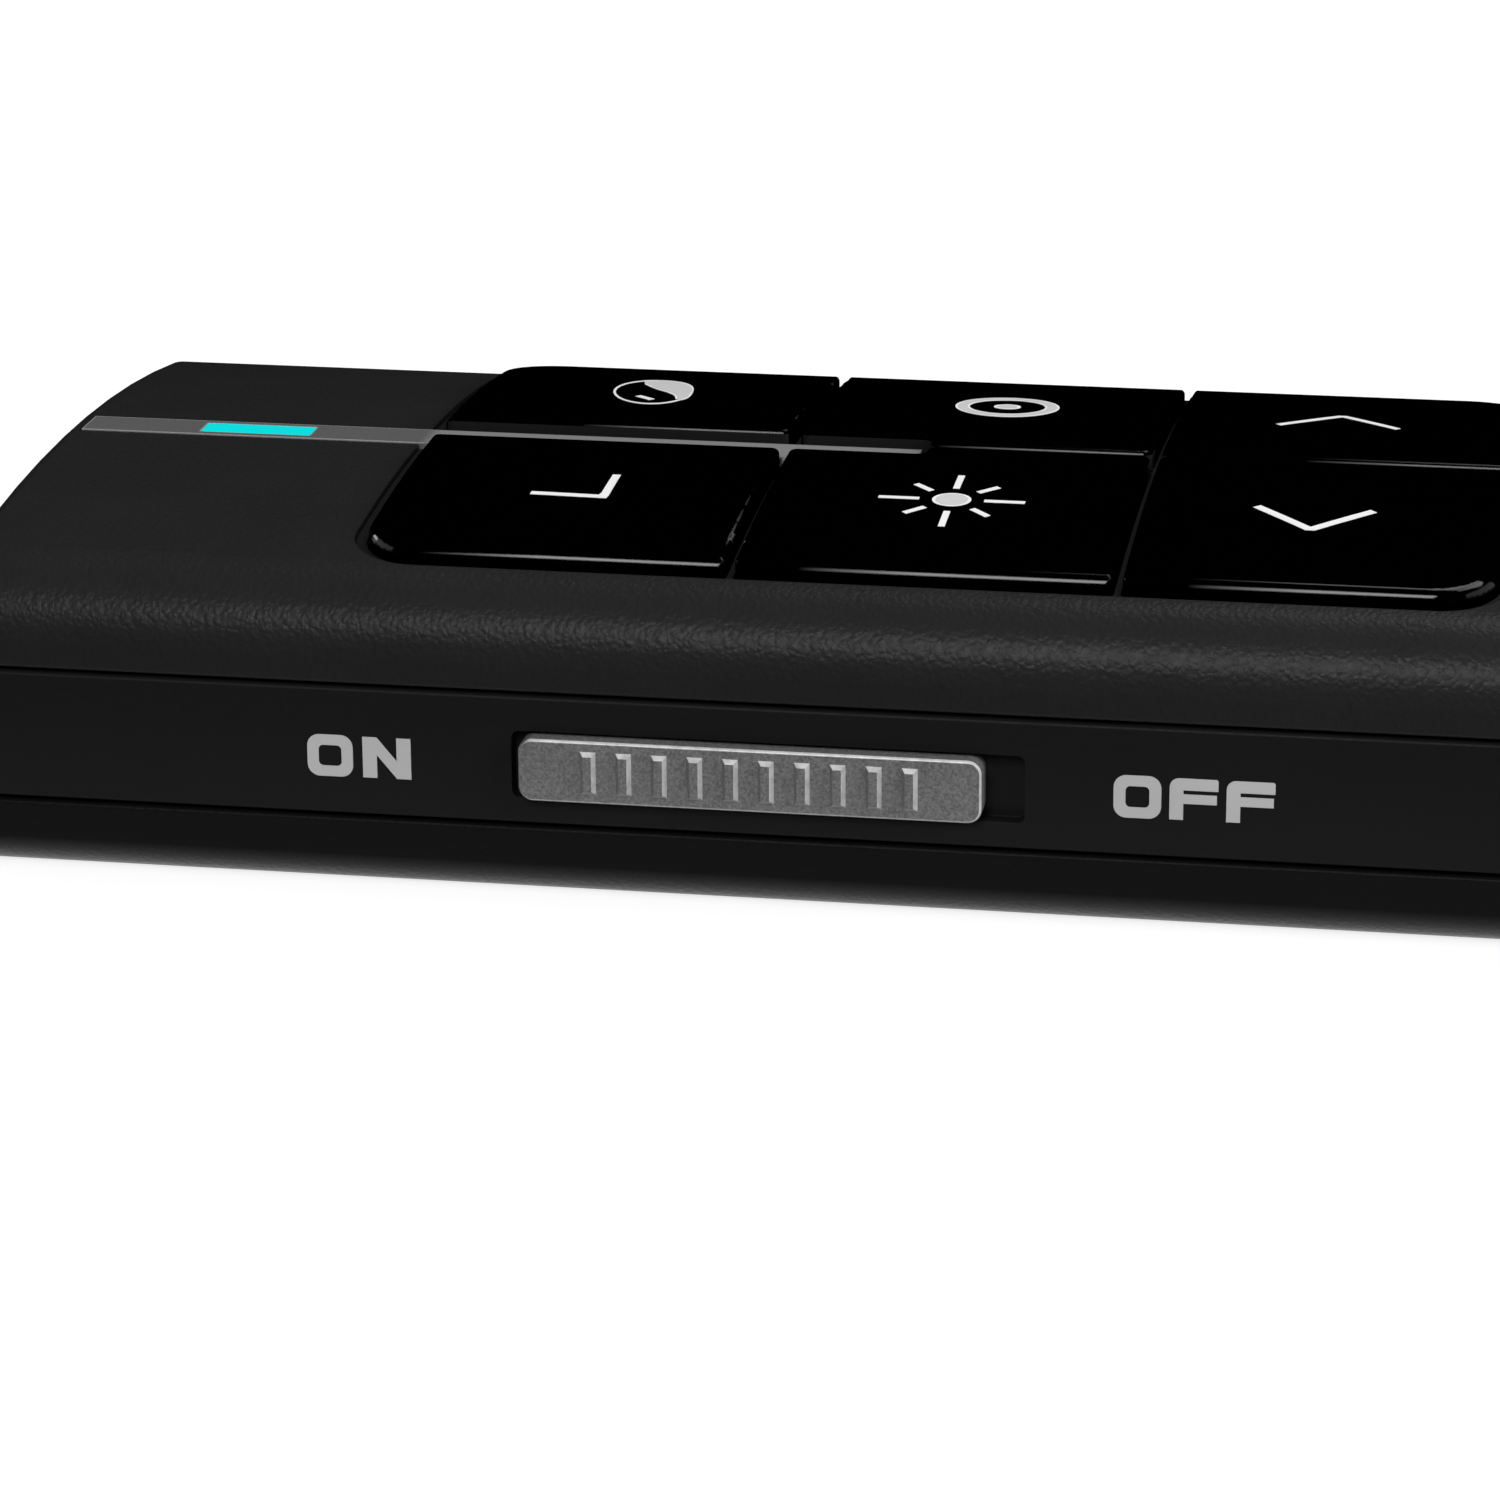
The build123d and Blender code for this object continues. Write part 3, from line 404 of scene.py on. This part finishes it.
def make_materials():
    """One material for each slot of the record."""
    return {
        "shell": leather("shell_grain", (0.0162, 0.0162, 0.0165), 0.34, 0.073, 0.018),
        "band": surface("band_satin", (0.0095, 0.0095, 0.0097), 0.42, 0.06, depth=0.0008, vary=0.03),
        "bezel": surface("bezel_matt", grey(0.01), 0.55, 0.06, vary=0.05),
        # The strip's second and third colours are painted highlights, between the keys and along its edges.
        "strip": satin_strip("strip_satin", (0.105, 0.105, 0.108), (0.21, 0.21, 0.214), (0.34, 0.34, 0.345)),
        "guide": lit("guide_lit", (0.001, 0.2, 0.21), (0.004, 0.75, 0.75), 0.75),
        # The keys' second colour is the painted reflection of the strip on the walls beside it.
        "key": lacquer("key_gloss", grey(0.0002), grey(0.012), 0.5),
        # The knob's last colour is the painted highlight on its bevels.
        "knob": blasted("knob_blasted", grey(0.078), grey(0.22), grey(0.68)),
        "plunger": surface("plunger_moulded", (0.45, 0.45, 0.43), 0.45),
        "switch": surface("switch_moulded", grey(0.02), 0.4),
        "lever": surface("lever_moulded", grey(0.3), 0.45),
        "board": surface("board_mask", (0.012, 0.11, 0.035), 0.3, grain=2500),
        "chip": surface("chip_moulded", grey(0.015), 0.45),
        "can": metal("can_drawn", (0.62, 0.62, 0.61), 0.35, depth=0.001),
        "capacitor": surface("capacitor_ceramic", (0.36, 0.24, 0.13), 0.4),
        "led": surface("led_clear", (0.75, 0.75, 0.62), 0.15),
        "barrel": metal("barrel_turned", (0.72, 0.5, 0.2), 0.22, stretch=(8, 0.3, 0.3)),
        "optic": surface("optic_tinted", (0.05, 0.004, 0.004), 0.06, spread=0.02, depth=0.0002),
        "contact": metal("contact_nickel", (0.66, 0.65, 0.61), 0.35, depth=0.001),
        "cell": surface("cell_sleeve", (0.2, 0.22, 0.25), 0.3, depth=0.001),
        "lead": surface("lead_insulation", (0.35, 0.012, 0.012), 0.45),
        "receiver": surface("receiver_satin", (0.008, 0.008, 0.0083), 0.35, 0.3),
        "plug": metal("plug_nickel", (0.68, 0.67, 0.65), 0.42, depth=0.001, stretch=(0.2, 3, 3)),
        "gold": metal("gold_plate", (0.85, 0.6, 0.2), 0.2, depth=0.0005),
        "screw": metal("screw_zinc", grey(0.2), 0.38, depth=0.002),
    }


def dress(materials):
    """Give every node its slot's material; the lower casing and the battery door get a darker copy of the crown's
    leather, as painted shade.
    """
    # Painted shade: the same leather as the crown's, in a darker copy.
    lower = leather("shell_grain_painted_shade", (0.005, 0.005, 0.0051), 0.4, 0.05, 0.014)
    smooth_foot(lower, 0.6)
    for entry in frame["record"]["subparts"]:
        mesh = nodes[entry["node"]].data
        mesh.materials.clear()
        mesh.materials.append(materials[entry["material_slot"]])
    for name in ("bottom_shell", "battery_door"):
        nodes[name].data.materials[0] = lower


# ---------------------------------------------------------------- ink


def on_key(x, y, lift):
    """A point over the crown of the keys."""
    z = HEIGHT - CROWN_RADIUS + math.sqrt((CROWN_RADIUS + KEY_PROUD) ** 2 - y**2) + lift
    return Vector((x + FIRST_GAP, y, z)) * MM


def over_ink(x, y, lift):
    """A point over the crown of the keys, just above other ink."""
    return on_key(x, y, lift + INK_OVERLAP)


def on_side(x, z, lift):
    """A point on the side face."""
    return Vector((x + FIRST_GAP, SIDE_FACE - lift, z)) * MM


def arc(cx, cy, rx, ry, start, end, count):
    """Points along an elliptical arc, in degrees."""
    points = []
    for i in range(count + 1):
        angle = math.radians(start + (end - start) * i / count)
        points.append((cx + rx * math.cos(angle), cy + ry * math.sin(angle)))
    return points


def rounded_loop(x0, x1, z0, z1, radius, count=8):
    """Points round a rectangle with rounded corners."""
    points = []
    corners = ((x1, z1, 0), (x0, z1, 90), (x0, z0, 180), (x1, z0, 270))
    for x, z, start in corners:
        cx = x - radius if x == x1 else x + radius
        cz = z - radius if z == z1 else z + radius
        points += arc(cx, cz, radius, radius, start, start + 90, count)
    return points


def between(a, b, share):
    """A point part of the way from one to another."""
    return (a[0] + (b[0] - a[0]) * share, a[1] + (b[1] - a[1]) * share)


def divided(points):
    """The same polyline with more points along its runs."""
    out = [points[0]]
    for a, b in zip(points, points[1:]):
        count = max(1, round(math.dist(a, b) / STEP))
        out += [between(a, b, i / count) for i in range(1, count + 1)]
    return out


def even(points, count):
    """A polyline's course as a number of evenly spaced points."""
    lengths = [0.0]
    for a, b in zip(points, points[1:]):
        lengths.append(lengths[-1] + math.dist(a, b))
    out = []
    for i in range(count):
        goal = lengths[-1] * i / (count - 1)
        k = max(j for j in range(len(lengths) - 1) if lengths[j] <= goal + 1e-9)
        share = (goal - lengths[k]) / (lengths[k + 1] - lengths[k])
        out.append(between(points[k], points[k + 1], share))
    return out


def ribbon(mesh, left, right, place, across=2, closed=False, rim=0.0):
    """A thin closed slab of ink between two rows of points; a rim is the width of a last, separate column."""
    rows = []
    for a, b in zip(left, right):
        last = min(0.5, rim / max(math.dist(a, b), 1e-6))
        shares = [i / across * (1 - last) for i in range(across + 1)] + ([1.0] if rim else [])
        rows.append([between(a, b, share) for share in shares])
    across = len(rows[0]) - 1
    top = [[mesh.verts.new(place(x, y, INK)) for x, y in row] for row in rows]
    foot = [[mesh.verts.new(place(x, y, -INK_FOOT)) for x, y in row] for row in rows]
    count = len(rows)
    for i in range(count if closed else count - 1):
        j = (i + 1) % count
        for k in range(across):
            mesh.faces.new((top[i][k], top[j][k], top[j][k + 1], top[i][k + 1]))
            mesh.faces.new((foot[i][k + 1], foot[j][k + 1], foot[j][k], foot[i][k]))
        mesh.faces.new((foot[i][0], foot[j][0], top[j][0], top[i][0]))
        mesh.faces.new((top[i][across], top[j][across], foot[j][across], foot[i][across]))
    if not closed:
        for i in (0, count - 1):
            for k in range(across):
                mesh.faces.new((foot[i][k], top[i][k], top[i][k + 1], foot[i][k + 1]))


def ring(mesh, centre, outer, inner, place, across=2):
    """An annulus between two (rx, ry) ellipses."""
    a = arc(*centre, *outer, 0, 360, 64)[:-1]
    b = arc(*centre, *inner, 0, 360, 64)[:-1]
    ribbon(mesh, a, b, place, across, closed=True)


def disc(mesh, centre, size, place):
    """A filled (rx, ry) ellipse."""
    upper = arc(*centre, *size, 178, 2, 32)
    lower = arc(*centre, *size, 182, 358, 32)
    ribbon(mesh, upper, lower, place, FINE)


def plate(mesh, outline, place):
    """A thin closed slab of ink with any outline, on a flat face."""
    top = [mesh.verts.new(place(x, y, INK)) for x, y in outline]
    foot = [mesh.verts.new(place(x, y, -INK_FOOT)) for x, y in outline]
    mesh.faces.new(top)
    mesh.faces.new(foot[::-1])
    for i in range(len(outline)):
        j = (i + 1) % len(outline)
        mesh.faces.new((top[j], top[i], foot[i], foot[j]))


def stroke(mesh, points, width, place):
    """A line of even width with mitred corners."""
    points = divided(points)
    left, right = [], []
    for i, p in enumerate(points):
        before = points[max(i - 1, 0)]
        after = points[min(i + 1, len(points) - 1)]
        d1 = Vector((p[0] - before[0], p[1] - before[1]))
        d2 = Vector((after[0] - p[0], after[1] - p[1]))
        d1 = d1.normalized() if d1.length else d2.normalized()
        d2 = d2.normalized() if d2.length else d1
        normal = Vector((-(d1.y + d2.y), d1.x + d2.x)).normalized()
        reach = width / 2 / max(normal.dot(Vector((-d1.y, d1.x))), MITRE_LIMIT)
        left.append((p[0] + normal.x * reach, p[1] + normal.y * reach))
        right.append((p[0] - normal.x * reach, p[1] - normal.y * reach))
    ribbon(mesh, left, right, place)


def printed(name, body, inks, draw, solid=None):
    """A piece of ink on a body, drawn by a function that adds to its mesh.

    A second function says which of its points lie inside a large area, where the second ink shows.
    """
    mesh = bmesh.new()
    draw(mesh)
    bmesh.ops.recalc_face_normals(mesh, faces=mesh.faces)
    if solid:
        for face in mesh.faces:
            spot = face.calc_center_median() / MM
            face.material_index = int(solid(spot.x - FIRST_GAP, spot.y))
    data = bpy.data.meshes.new(name)
    mesh.to_mesh(data)
    mesh.free()
    for ink in inks:
        data.materials.append(ink)
    piece = bpy.data.objects.new(name, data)
    bpy.context.scene.collection.objects.link(piece)
    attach(piece, body)


# ---------------------------------------------------------------- symbols on the keys

TARGET = (7.72, 7.04)
TARGET_OUTER = (2.11, 2.02)
TARGET_INNER = (1.53, 1.43)
TARGET_DOT = (0.55, 0.49)
TARGET_INSIDES = (1.05, 0.5)  # its squash across, and the dot's reach, by which the insides are told

SUN = (7.4, -6.81)
SUN_DISC = (0.75, 0.71)
SUN_RAYS = ((1.25, 2.82), (1.28, 2.27))  # ends of the straight and of the slanting ones, from the middle
SUN_RAY_WIDTH = 0.26
SUN_INSIDE = 0.72  # the disc's reach, by which its inside is told

TOGGLE = (-6.975, 7.4)
TOGGLE_OUTER = (1.645, 2.65)
TOGGLE_INNER = (1.545, 2.47)
TOGGLE_LEAN = 0.09
TOGGLE_GLINT = ((-0.42, -1.1), (0.27, -1.72))
TOGGLE_ARC = (113, -149)  # start and sweep of the filled half's outline, in degrees
TOGGLE_POINTS = 31
TOGGLE_OVERLAP = 0.02  # how far the filled half runs out over the oval's line
TOGGLE_TURN = (-50, -25)  # degrees between which it turns to its squarer course
TOGGLE_POWER = 2.5  # of that course: an ellipse has 2, and more is squarer
TOGGLE_INSET = (0.07, 0.11)  # width of its lighter rim along the oval
TOGGLE_BEND = (  # its inner edge
    (-0.66, 1.55),
    (-0.2, 0.79),
    (0.17, 0.33),
    (0.53, -0.03),
    (0.91, -0.54),
    (1.08, -0.91),
    (1.2, -1.42),
)


def draw_target(mesh):
    """Ring with a dot, for the laser key."""
    ring(mesh, TARGET, TARGET_OUTER, TARGET_INNER, on_key, across=7)
    disc(mesh, TARGET, TARGET_DOT, on_key)


def in_target(x, y):
    """The ring's and the dot's insides."""
    squash, dot = TARGET_INSIDES
    reach = math.hypot(x - TARGET[0], (y - TARGET[1]) * squash)
    return TARGET_INNER[0] + RIM < reach < TARGET_OUTER[0] - RIM or reach < dot - RIM


def draw_sun(mesh):
    """Disc with eight rays, for the light key."""
    cx, cy = SUN
    disc(mesh, SUN, SUN_DISC, on_key)
    for i in range(8):
        angle = math.radians(45 * i)
        c, s = math.cos(angle), math.sin(angle)
        ends = [(cx + reach * c, cy + reach * s) for reach in SUN_RAYS[i % 2]]
        stroke(mesh, ends, SUN_RAY_WIDTH, on_key)


def in_sun(x, y):
    """The disc's inside."""
    return math.hypot(x - SUN[0], y - SUN[1]) < SUN_INSIDE - RIM


def draw_up(mesh):
    """Open arrow away from the slider side."""
    stroke(mesh, [(18.8, 5.6), (21.1, 7.75), (21.3, 7.75), (23.55, 5.65)], 0.3, on_key)


def draw_down(mesh):
    """Open arrow towards the slider side."""
    stroke(mesh, [(18.97, -6.12), (21.06, -8.25), (21.26, -8.25), (23.38, -6.14)], 0.36, on_key)


def draw_enter(mesh):
    """Corner mark."""
    inner = [(-8.76, -7.83), (-6.05, -7.91), (-6.02, -5.61)]
    outer = [(-8.76, -8.14), (-5.72, -8.24), (-5.7, -5.61)]
    count = min(len(divided(inner)), len(divided(outer)))
    ribbon(mesh, even(inner, count), even(outer, count), on_key)


def toggle_reach(angle):
    """Half-widths of the toggle's filled half at an angle.

    It follows the oval, but has a squarer corner towards the tail and away from the slider.
    """
    powers = abs(math.cos(angle)) ** TOGGLE_POWER + abs(math.sin(angle)) ** TOGGLE_POWER
    square = powers ** (-1 / TOGGLE_POWER)
    start, end = TOGGLE_TURN
    share = min(1, max(0, (math.degrees(angle) - start) / (end - start))) if angle < math.pi / 2 else 0
    reach = []
    for inner, outer in zip(TOGGLE_INNER, TOGGLE_OUTER):
        reach.append(inner + TOGGLE_OVERLAP + (outer * square - inner - TOGGLE_OVERLAP) * share)
    return reach


def toggle_bend(count):
    """The S-shaped edge of the toggle's filled half."""
    return [(TOGGLE[0] + x, TOGGLE[1] + y) for x, y in even(TOGGLE_BEND, count)]


def leaning(x, y, lift):
    """A point of the toggle's oval, which leans towards the nose."""
    return on_key(x - TOGGLE_LEAN * (y - TOGGLE[1]), y, lift)


def draw_toggle(mesh):
    """Oval with one half filled up to an S-shaped edge, and a glint."""
    cx, cy = TOGGLE
    ring(mesh, TOGGLE, TOGGLE_OUTER, TOGGLE_INNER, leaning)
    start, sweep = TOGGLE_ARC
    outer = []
    for i in range(TOGGLE_POINTS):
        angle = math.radians(start + sweep * i / (TOGGLE_POINTS - 1))
        rx, ry = toggle_reach(angle)
        y = ry * math.sin(angle)
        outer.append((cx + rx * math.cos(angle) - TOGGLE_LEAN * y, cy + y))
    ribbon(mesh, outer, toggle_bend(TOGGLE_POINTS), over_ink, FINE, rim=RIM)
    stroke(mesh, [(cx + x, cy + y) for x, y in TOGGLE_GLINT], 0.3, on_key)


def in_toggle(x, y):
    """The filled half's inside."""
    v = y - TOGGLE[1]
    u = x - TOGGLE[0] + TOGGLE_LEAN * v
    rx, ry = toggle_reach(math.atan2(v / TOGGLE_INNER[1], u / TOGGLE_INNER[0]))
    if math.hypot(u / (rx - TOGGLE_INSET[0]), v / (ry - TOGGLE_INSET[1])) > 1:
        return False
    spot = min(toggle_bend(60), key=lambda p: math.dist(p, (x, y)))
    return math.dist(spot, (x, y)) > RIM and (x - spot[0]) + (y - spot[1]) > 0


# ---------------------------------------------------------------- words on the side

CAPS_FOOT = 4.47
CAPS_TOP = 6.08
ROUND_FOOT = 4.45
ROUND_TOP = 6.1


def draw_o(mesh, x0, x1):
    """Letter O as a rounded ring."""
    wide, high = 0.44, 0.42
    outer = rounded_loop(x0, x1, ROUND_FOOT, ROUND_TOP, 0.47)
    inner = rounded_loop(x0 + wide, x1 - wide, ROUND_FOOT + high, ROUND_TOP - high, 0.18)
    ribbon(mesh, outer, inner, on_side, closed=True)


def draw_n(mesh, x0, x1):
    """Letter N."""
    stem, slant = 0.55, 0.7
    left, right = x0 + stem, x1 - stem
    low = [(x0, CAPS_FOOT), (left, CAPS_FOOT), (left, CAPS_TOP - slant), (right, CAPS_FOOT), (x1, CAPS_FOOT)]
    high = [(x1, CAPS_TOP), (right, CAPS_TOP), (right, CAPS_FOOT + slant), (left, CAPS_TOP), (x0, CAPS_TOP)]
    plate(mesh, low + high, on_side)


def draw_f(mesh, x0, x1):
    """Letter F: two bars close together and a stem, rounded at its shoulder."""
    stem, bar, gap, second, short, corner, shoulder = 0.51, 0.46, 0.15, 0.37, 0.05, 0.06, 0.35
    inner, low = x0 + stem, CAPS_TOP - bar - gap
    tip = x1 - short
    foot = [(x0, CAPS_FOOT), (inner, CAPS_FOOT), (inner, low - second), (tip, low - second), (tip, low)]
    head = [(inner, low), (inner, CAPS_TOP - bar), (x1, CAPS_TOP - bar), (x1, CAPS_TOP - corner)]
    head.append((x1 - corner, CAPS_TOP))
    turn = arc(x0 + shoulder, CAPS_TOP - shoulder, shoulder, shoulder, 90, 180, 8)
    plate(mesh, foot + head + turn, on_side)


def draw_on(mesh):
    """The word at the slider's nose end."""
    draw_o(mesh, -15.67, -13.91)
    draw_n(mesh, -13.53, -11.67)


def draw_off(mesh):
    """The word at the slider's tail end."""
    draw_o(mesh, 14.81, 16.57)
    draw_f(mesh, 16.87, 18.66)
    draw_f(mesh, 18.96, 20.74)


def flat_ink(name, value):
    """Flat, nearly even ink."""
    return surface(name, grey(value), 0.6, 0.1, depth=0.0, vary=0.03, edge=0.0)


def print_symbols():
    """All printed marks; large areas on the keys look greyer than their rims."""
    white = flat_ink("ink_light", 0.82)
    dim = flat_ink("ink_dim", 0.58)
    dull = flat_ink("ink_grey", 0.52)
    printed("symbol_toggle", "toggle_button", (white, dim), draw_toggle, in_toggle)
    printed("symbol_enter", "enter_button", (white,), draw_enter)
    printed("symbol_laser", "laser_button", (white, dim), draw_target, in_target)
    printed("symbol_light", "light_button", (white, dim), draw_sun, in_sun)
    printed("symbol_up", "up_button", (white,), draw_up)
    printed("symbol_down", "down_button", (white,), draw_down)
    printed("word_on", "housing", (dull,), draw_on)
    printed("word_off", "housing", (dull,), draw_off)


# ---------------------------------------------------------------- stage and light

# Lengths in metres, and powers in watts
FLOOR_REACH = (-4.0, 4.0)
FLOOR_HEIGHT = 0.02 * MM
FLOOR_FADE = (0.2, 0.9)  # distances between which the floor's glow rises
FLOOR_GLOW = (0.8, 1.0)  # its strengths there
WORLD_LIGHT = 0.0075  # the background's strength where it isn't seen
LAMPS = (  # name, place, size, power, and whether gloss shows it
    ("lamp_top", (0.165, 0.205, 0.564), (0.47, 0.32), 1.9, True),
    ("lamp_front", (-0.07, -0.485, 0.353), (0.22, 0.22), 2.05, True),
    ("lamp_left", (-0.53, 0.21, 0.17), (0.12, 0.12), 0.3, True),
    ("lamp_right", (0.34, -0.1, 0.2), (0.2, 0.2), 1.3, False),
)


def sheet(name, corners, material):
    """A flat four-cornered stage piece."""
    data = bpy.data.meshes.new(name)
    data.from_pydata(corners, [], [(0, 1, 2, 3)])
    data.materials.append(material)
    piece = bpy.data.objects.new(name, data)
    bpy.context.scene.collection.objects.link(piece)
    return piece


def level_sheet(name, xs, ys, z, material):
    """A stage piece lying flat at a height."""
    (x0, x1), (y0, y1) = xs, ys
    return sheet(name, [(x0, y0, z), (x1, y0, z), (x1, y1, z), (x0, y1, z)], material)


def upright_sheet(name, xs, y, zs, material):
    """A stage piece standing across the view."""
    (x0, x1), (z0, z1) = xs, zs
    return sheet(name, [(x0, y, z0), (x1, y, z0), (x1, y, z1), (x0, y, z1)], material)


def seen_rays(tree):
    """One for rays that show the background: from the camera, off gloss and through clear pieces."""
    path = tree.nodes.new("ShaderNodeLightPath")
    total = path.outputs["Is Camera Ray"]
    for name in ("Is Glossy Ray", "Is Transmission Ray"):
        add = node_of(tree, "ShaderNodeMath", "ADD")
        add.use_clamp = True
        tree.links.new(total, add.inputs[0])
        tree.links.new(path.outputs[name], add.inputs[1])
        total = add.outputs["Value"]
    return total


def add_floor():
    """Pale floor, white where no shadow falls and far off, and clear from below.

    It lies a hair above the plane of the base, so that the base comes first from below.
    """
    material = bpy.data.materials.new("floor_pale")
    material.use_nodes = True
    tree = material.node_tree
    shader = tree.nodes["Principled BSDF"]
    shader.inputs["Base Color"].default_value = (*grey(0.3), 1)
    shader.inputs["Roughness"].default_value = 0.9
    shader.inputs["Specular IOR Level"].default_value = 0.0
    place = tree.nodes.new("ShaderNodeTexCoord")
    distance = node_of(tree, "ShaderNodeVectorMath", "LENGTH")
    tree.links.new(place.outputs["Object"], distance.inputs[0])
    strength = mapped(tree, distance.outputs["Value"], FLOOR_FADE, FLOOR_GLOW)
    glow = tree.nodes.new("ShaderNodeEmission")
    tree.links.new(product(tree, seen_rays(tree), strength), glow.inputs["Strength"])
    lighted = tree.nodes.new("ShaderNodeAddShader")
    tree.links.new(shader.outputs["BSDF"], lighted.inputs[0])
    tree.links.new(glow.outputs["Emission"], lighted.inputs[1])
    clear = tree.nodes.new("ShaderNodeBsdfTransparent")
    side = tree.nodes.new("ShaderNodeNewGeometry")
    sided = tree.nodes.new("ShaderNodeMixShader")
    tree.links.new(side.outputs["Backfacing"], sided.inputs["Fac"])
    tree.links.new(lighted.outputs["Shader"], sided.inputs[1])
    tree.links.new(clear.outputs["BSDF"], sided.inputs[2])
    tree.links.new(sided.outputs["Shader"], tree.nodes["Material Output"].inputs["Surface"])
    level_sheet("floor", FLOOR_REACH, FLOOR_REACH, FLOOR_HEIGHT, material)


def add_flags():
    """Dark cards round the object, for reflections only, as a studio uses for black gloss."""
    material = bpy.data.materials.new("flag_black")
    material.use_nodes = True
    shader = material.node_tree.nodes["Principled BSDF"]
    shader.inputs["Base Color"].default_value = (*grey(0), 1)
    shader.inputs["Specular IOR Level"].default_value = 0.0
    wide, low, high, front, far = (-1.6, 1.2), 0.0005, 0.9, -0.75, 0.8
    beyond, before = (0.022, far), (-0.5, -0.028)  # the floor on either side of the object
    flags = (
        upright_sheet("flag_upright", wide, far, (low, high), material),
        level_sheet("flag_flat", wide, beyond, low, material),
        level_sheet("flag_over", wide, (front, far), high, material),
        upright_sheet("flag_front", wide, front, (low, high), material),
        level_sheet("flag_table", wide, before, low, material),
    )
    for flag in flags:
        flag.visible_camera = False
        flag.visible_diffuse = False
        flag.visible_shadow = False
        flag.visible_transmission = False


def add_world():
    """White where the camera, gloss and clear pieces look, and a faint light elsewhere."""
    world = bpy.data.worlds.new("studio")
    world.use_nodes = True
    bpy.context.scene.world = world
    tree = world.node_tree
    background = tree.nodes["Background"]
    background.inputs["Color"].default_value = (*grey(1), 1)
    strength = mapped(tree, seen_rays(tree), (0, 1), (WORLD_LIGHT, 1.0))
    tree.links.new(strength, background.inputs["Strength"])


def add_lamp(name, place, size, power, in_gloss):
    """Soft rectangular lamp aimed at the middle of the base."""
    data = bpy.data.lights.new(name, "AREA")
    data.shape = "RECTANGLE"
    data.size, data.size_y = size
    data.energy = power
    lamp = bpy.data.objects.new(name, data)
    lamp.location = place
    lamp.rotation_euler = (-Vector(place)).to_track_quat("-Z", "Y").to_euler()
    lamp.visible_glossy = in_gloss
    bpy.context.scene.collection.objects.link(lamp)


add_camera()
dress(make_materials())
print_symbols()
add_floor()
add_flags()
add_world()
for lamp in LAMPS:
    add_lamp(*lamp)
bpy.context.scene.view_settings.view_transform = "Standard"
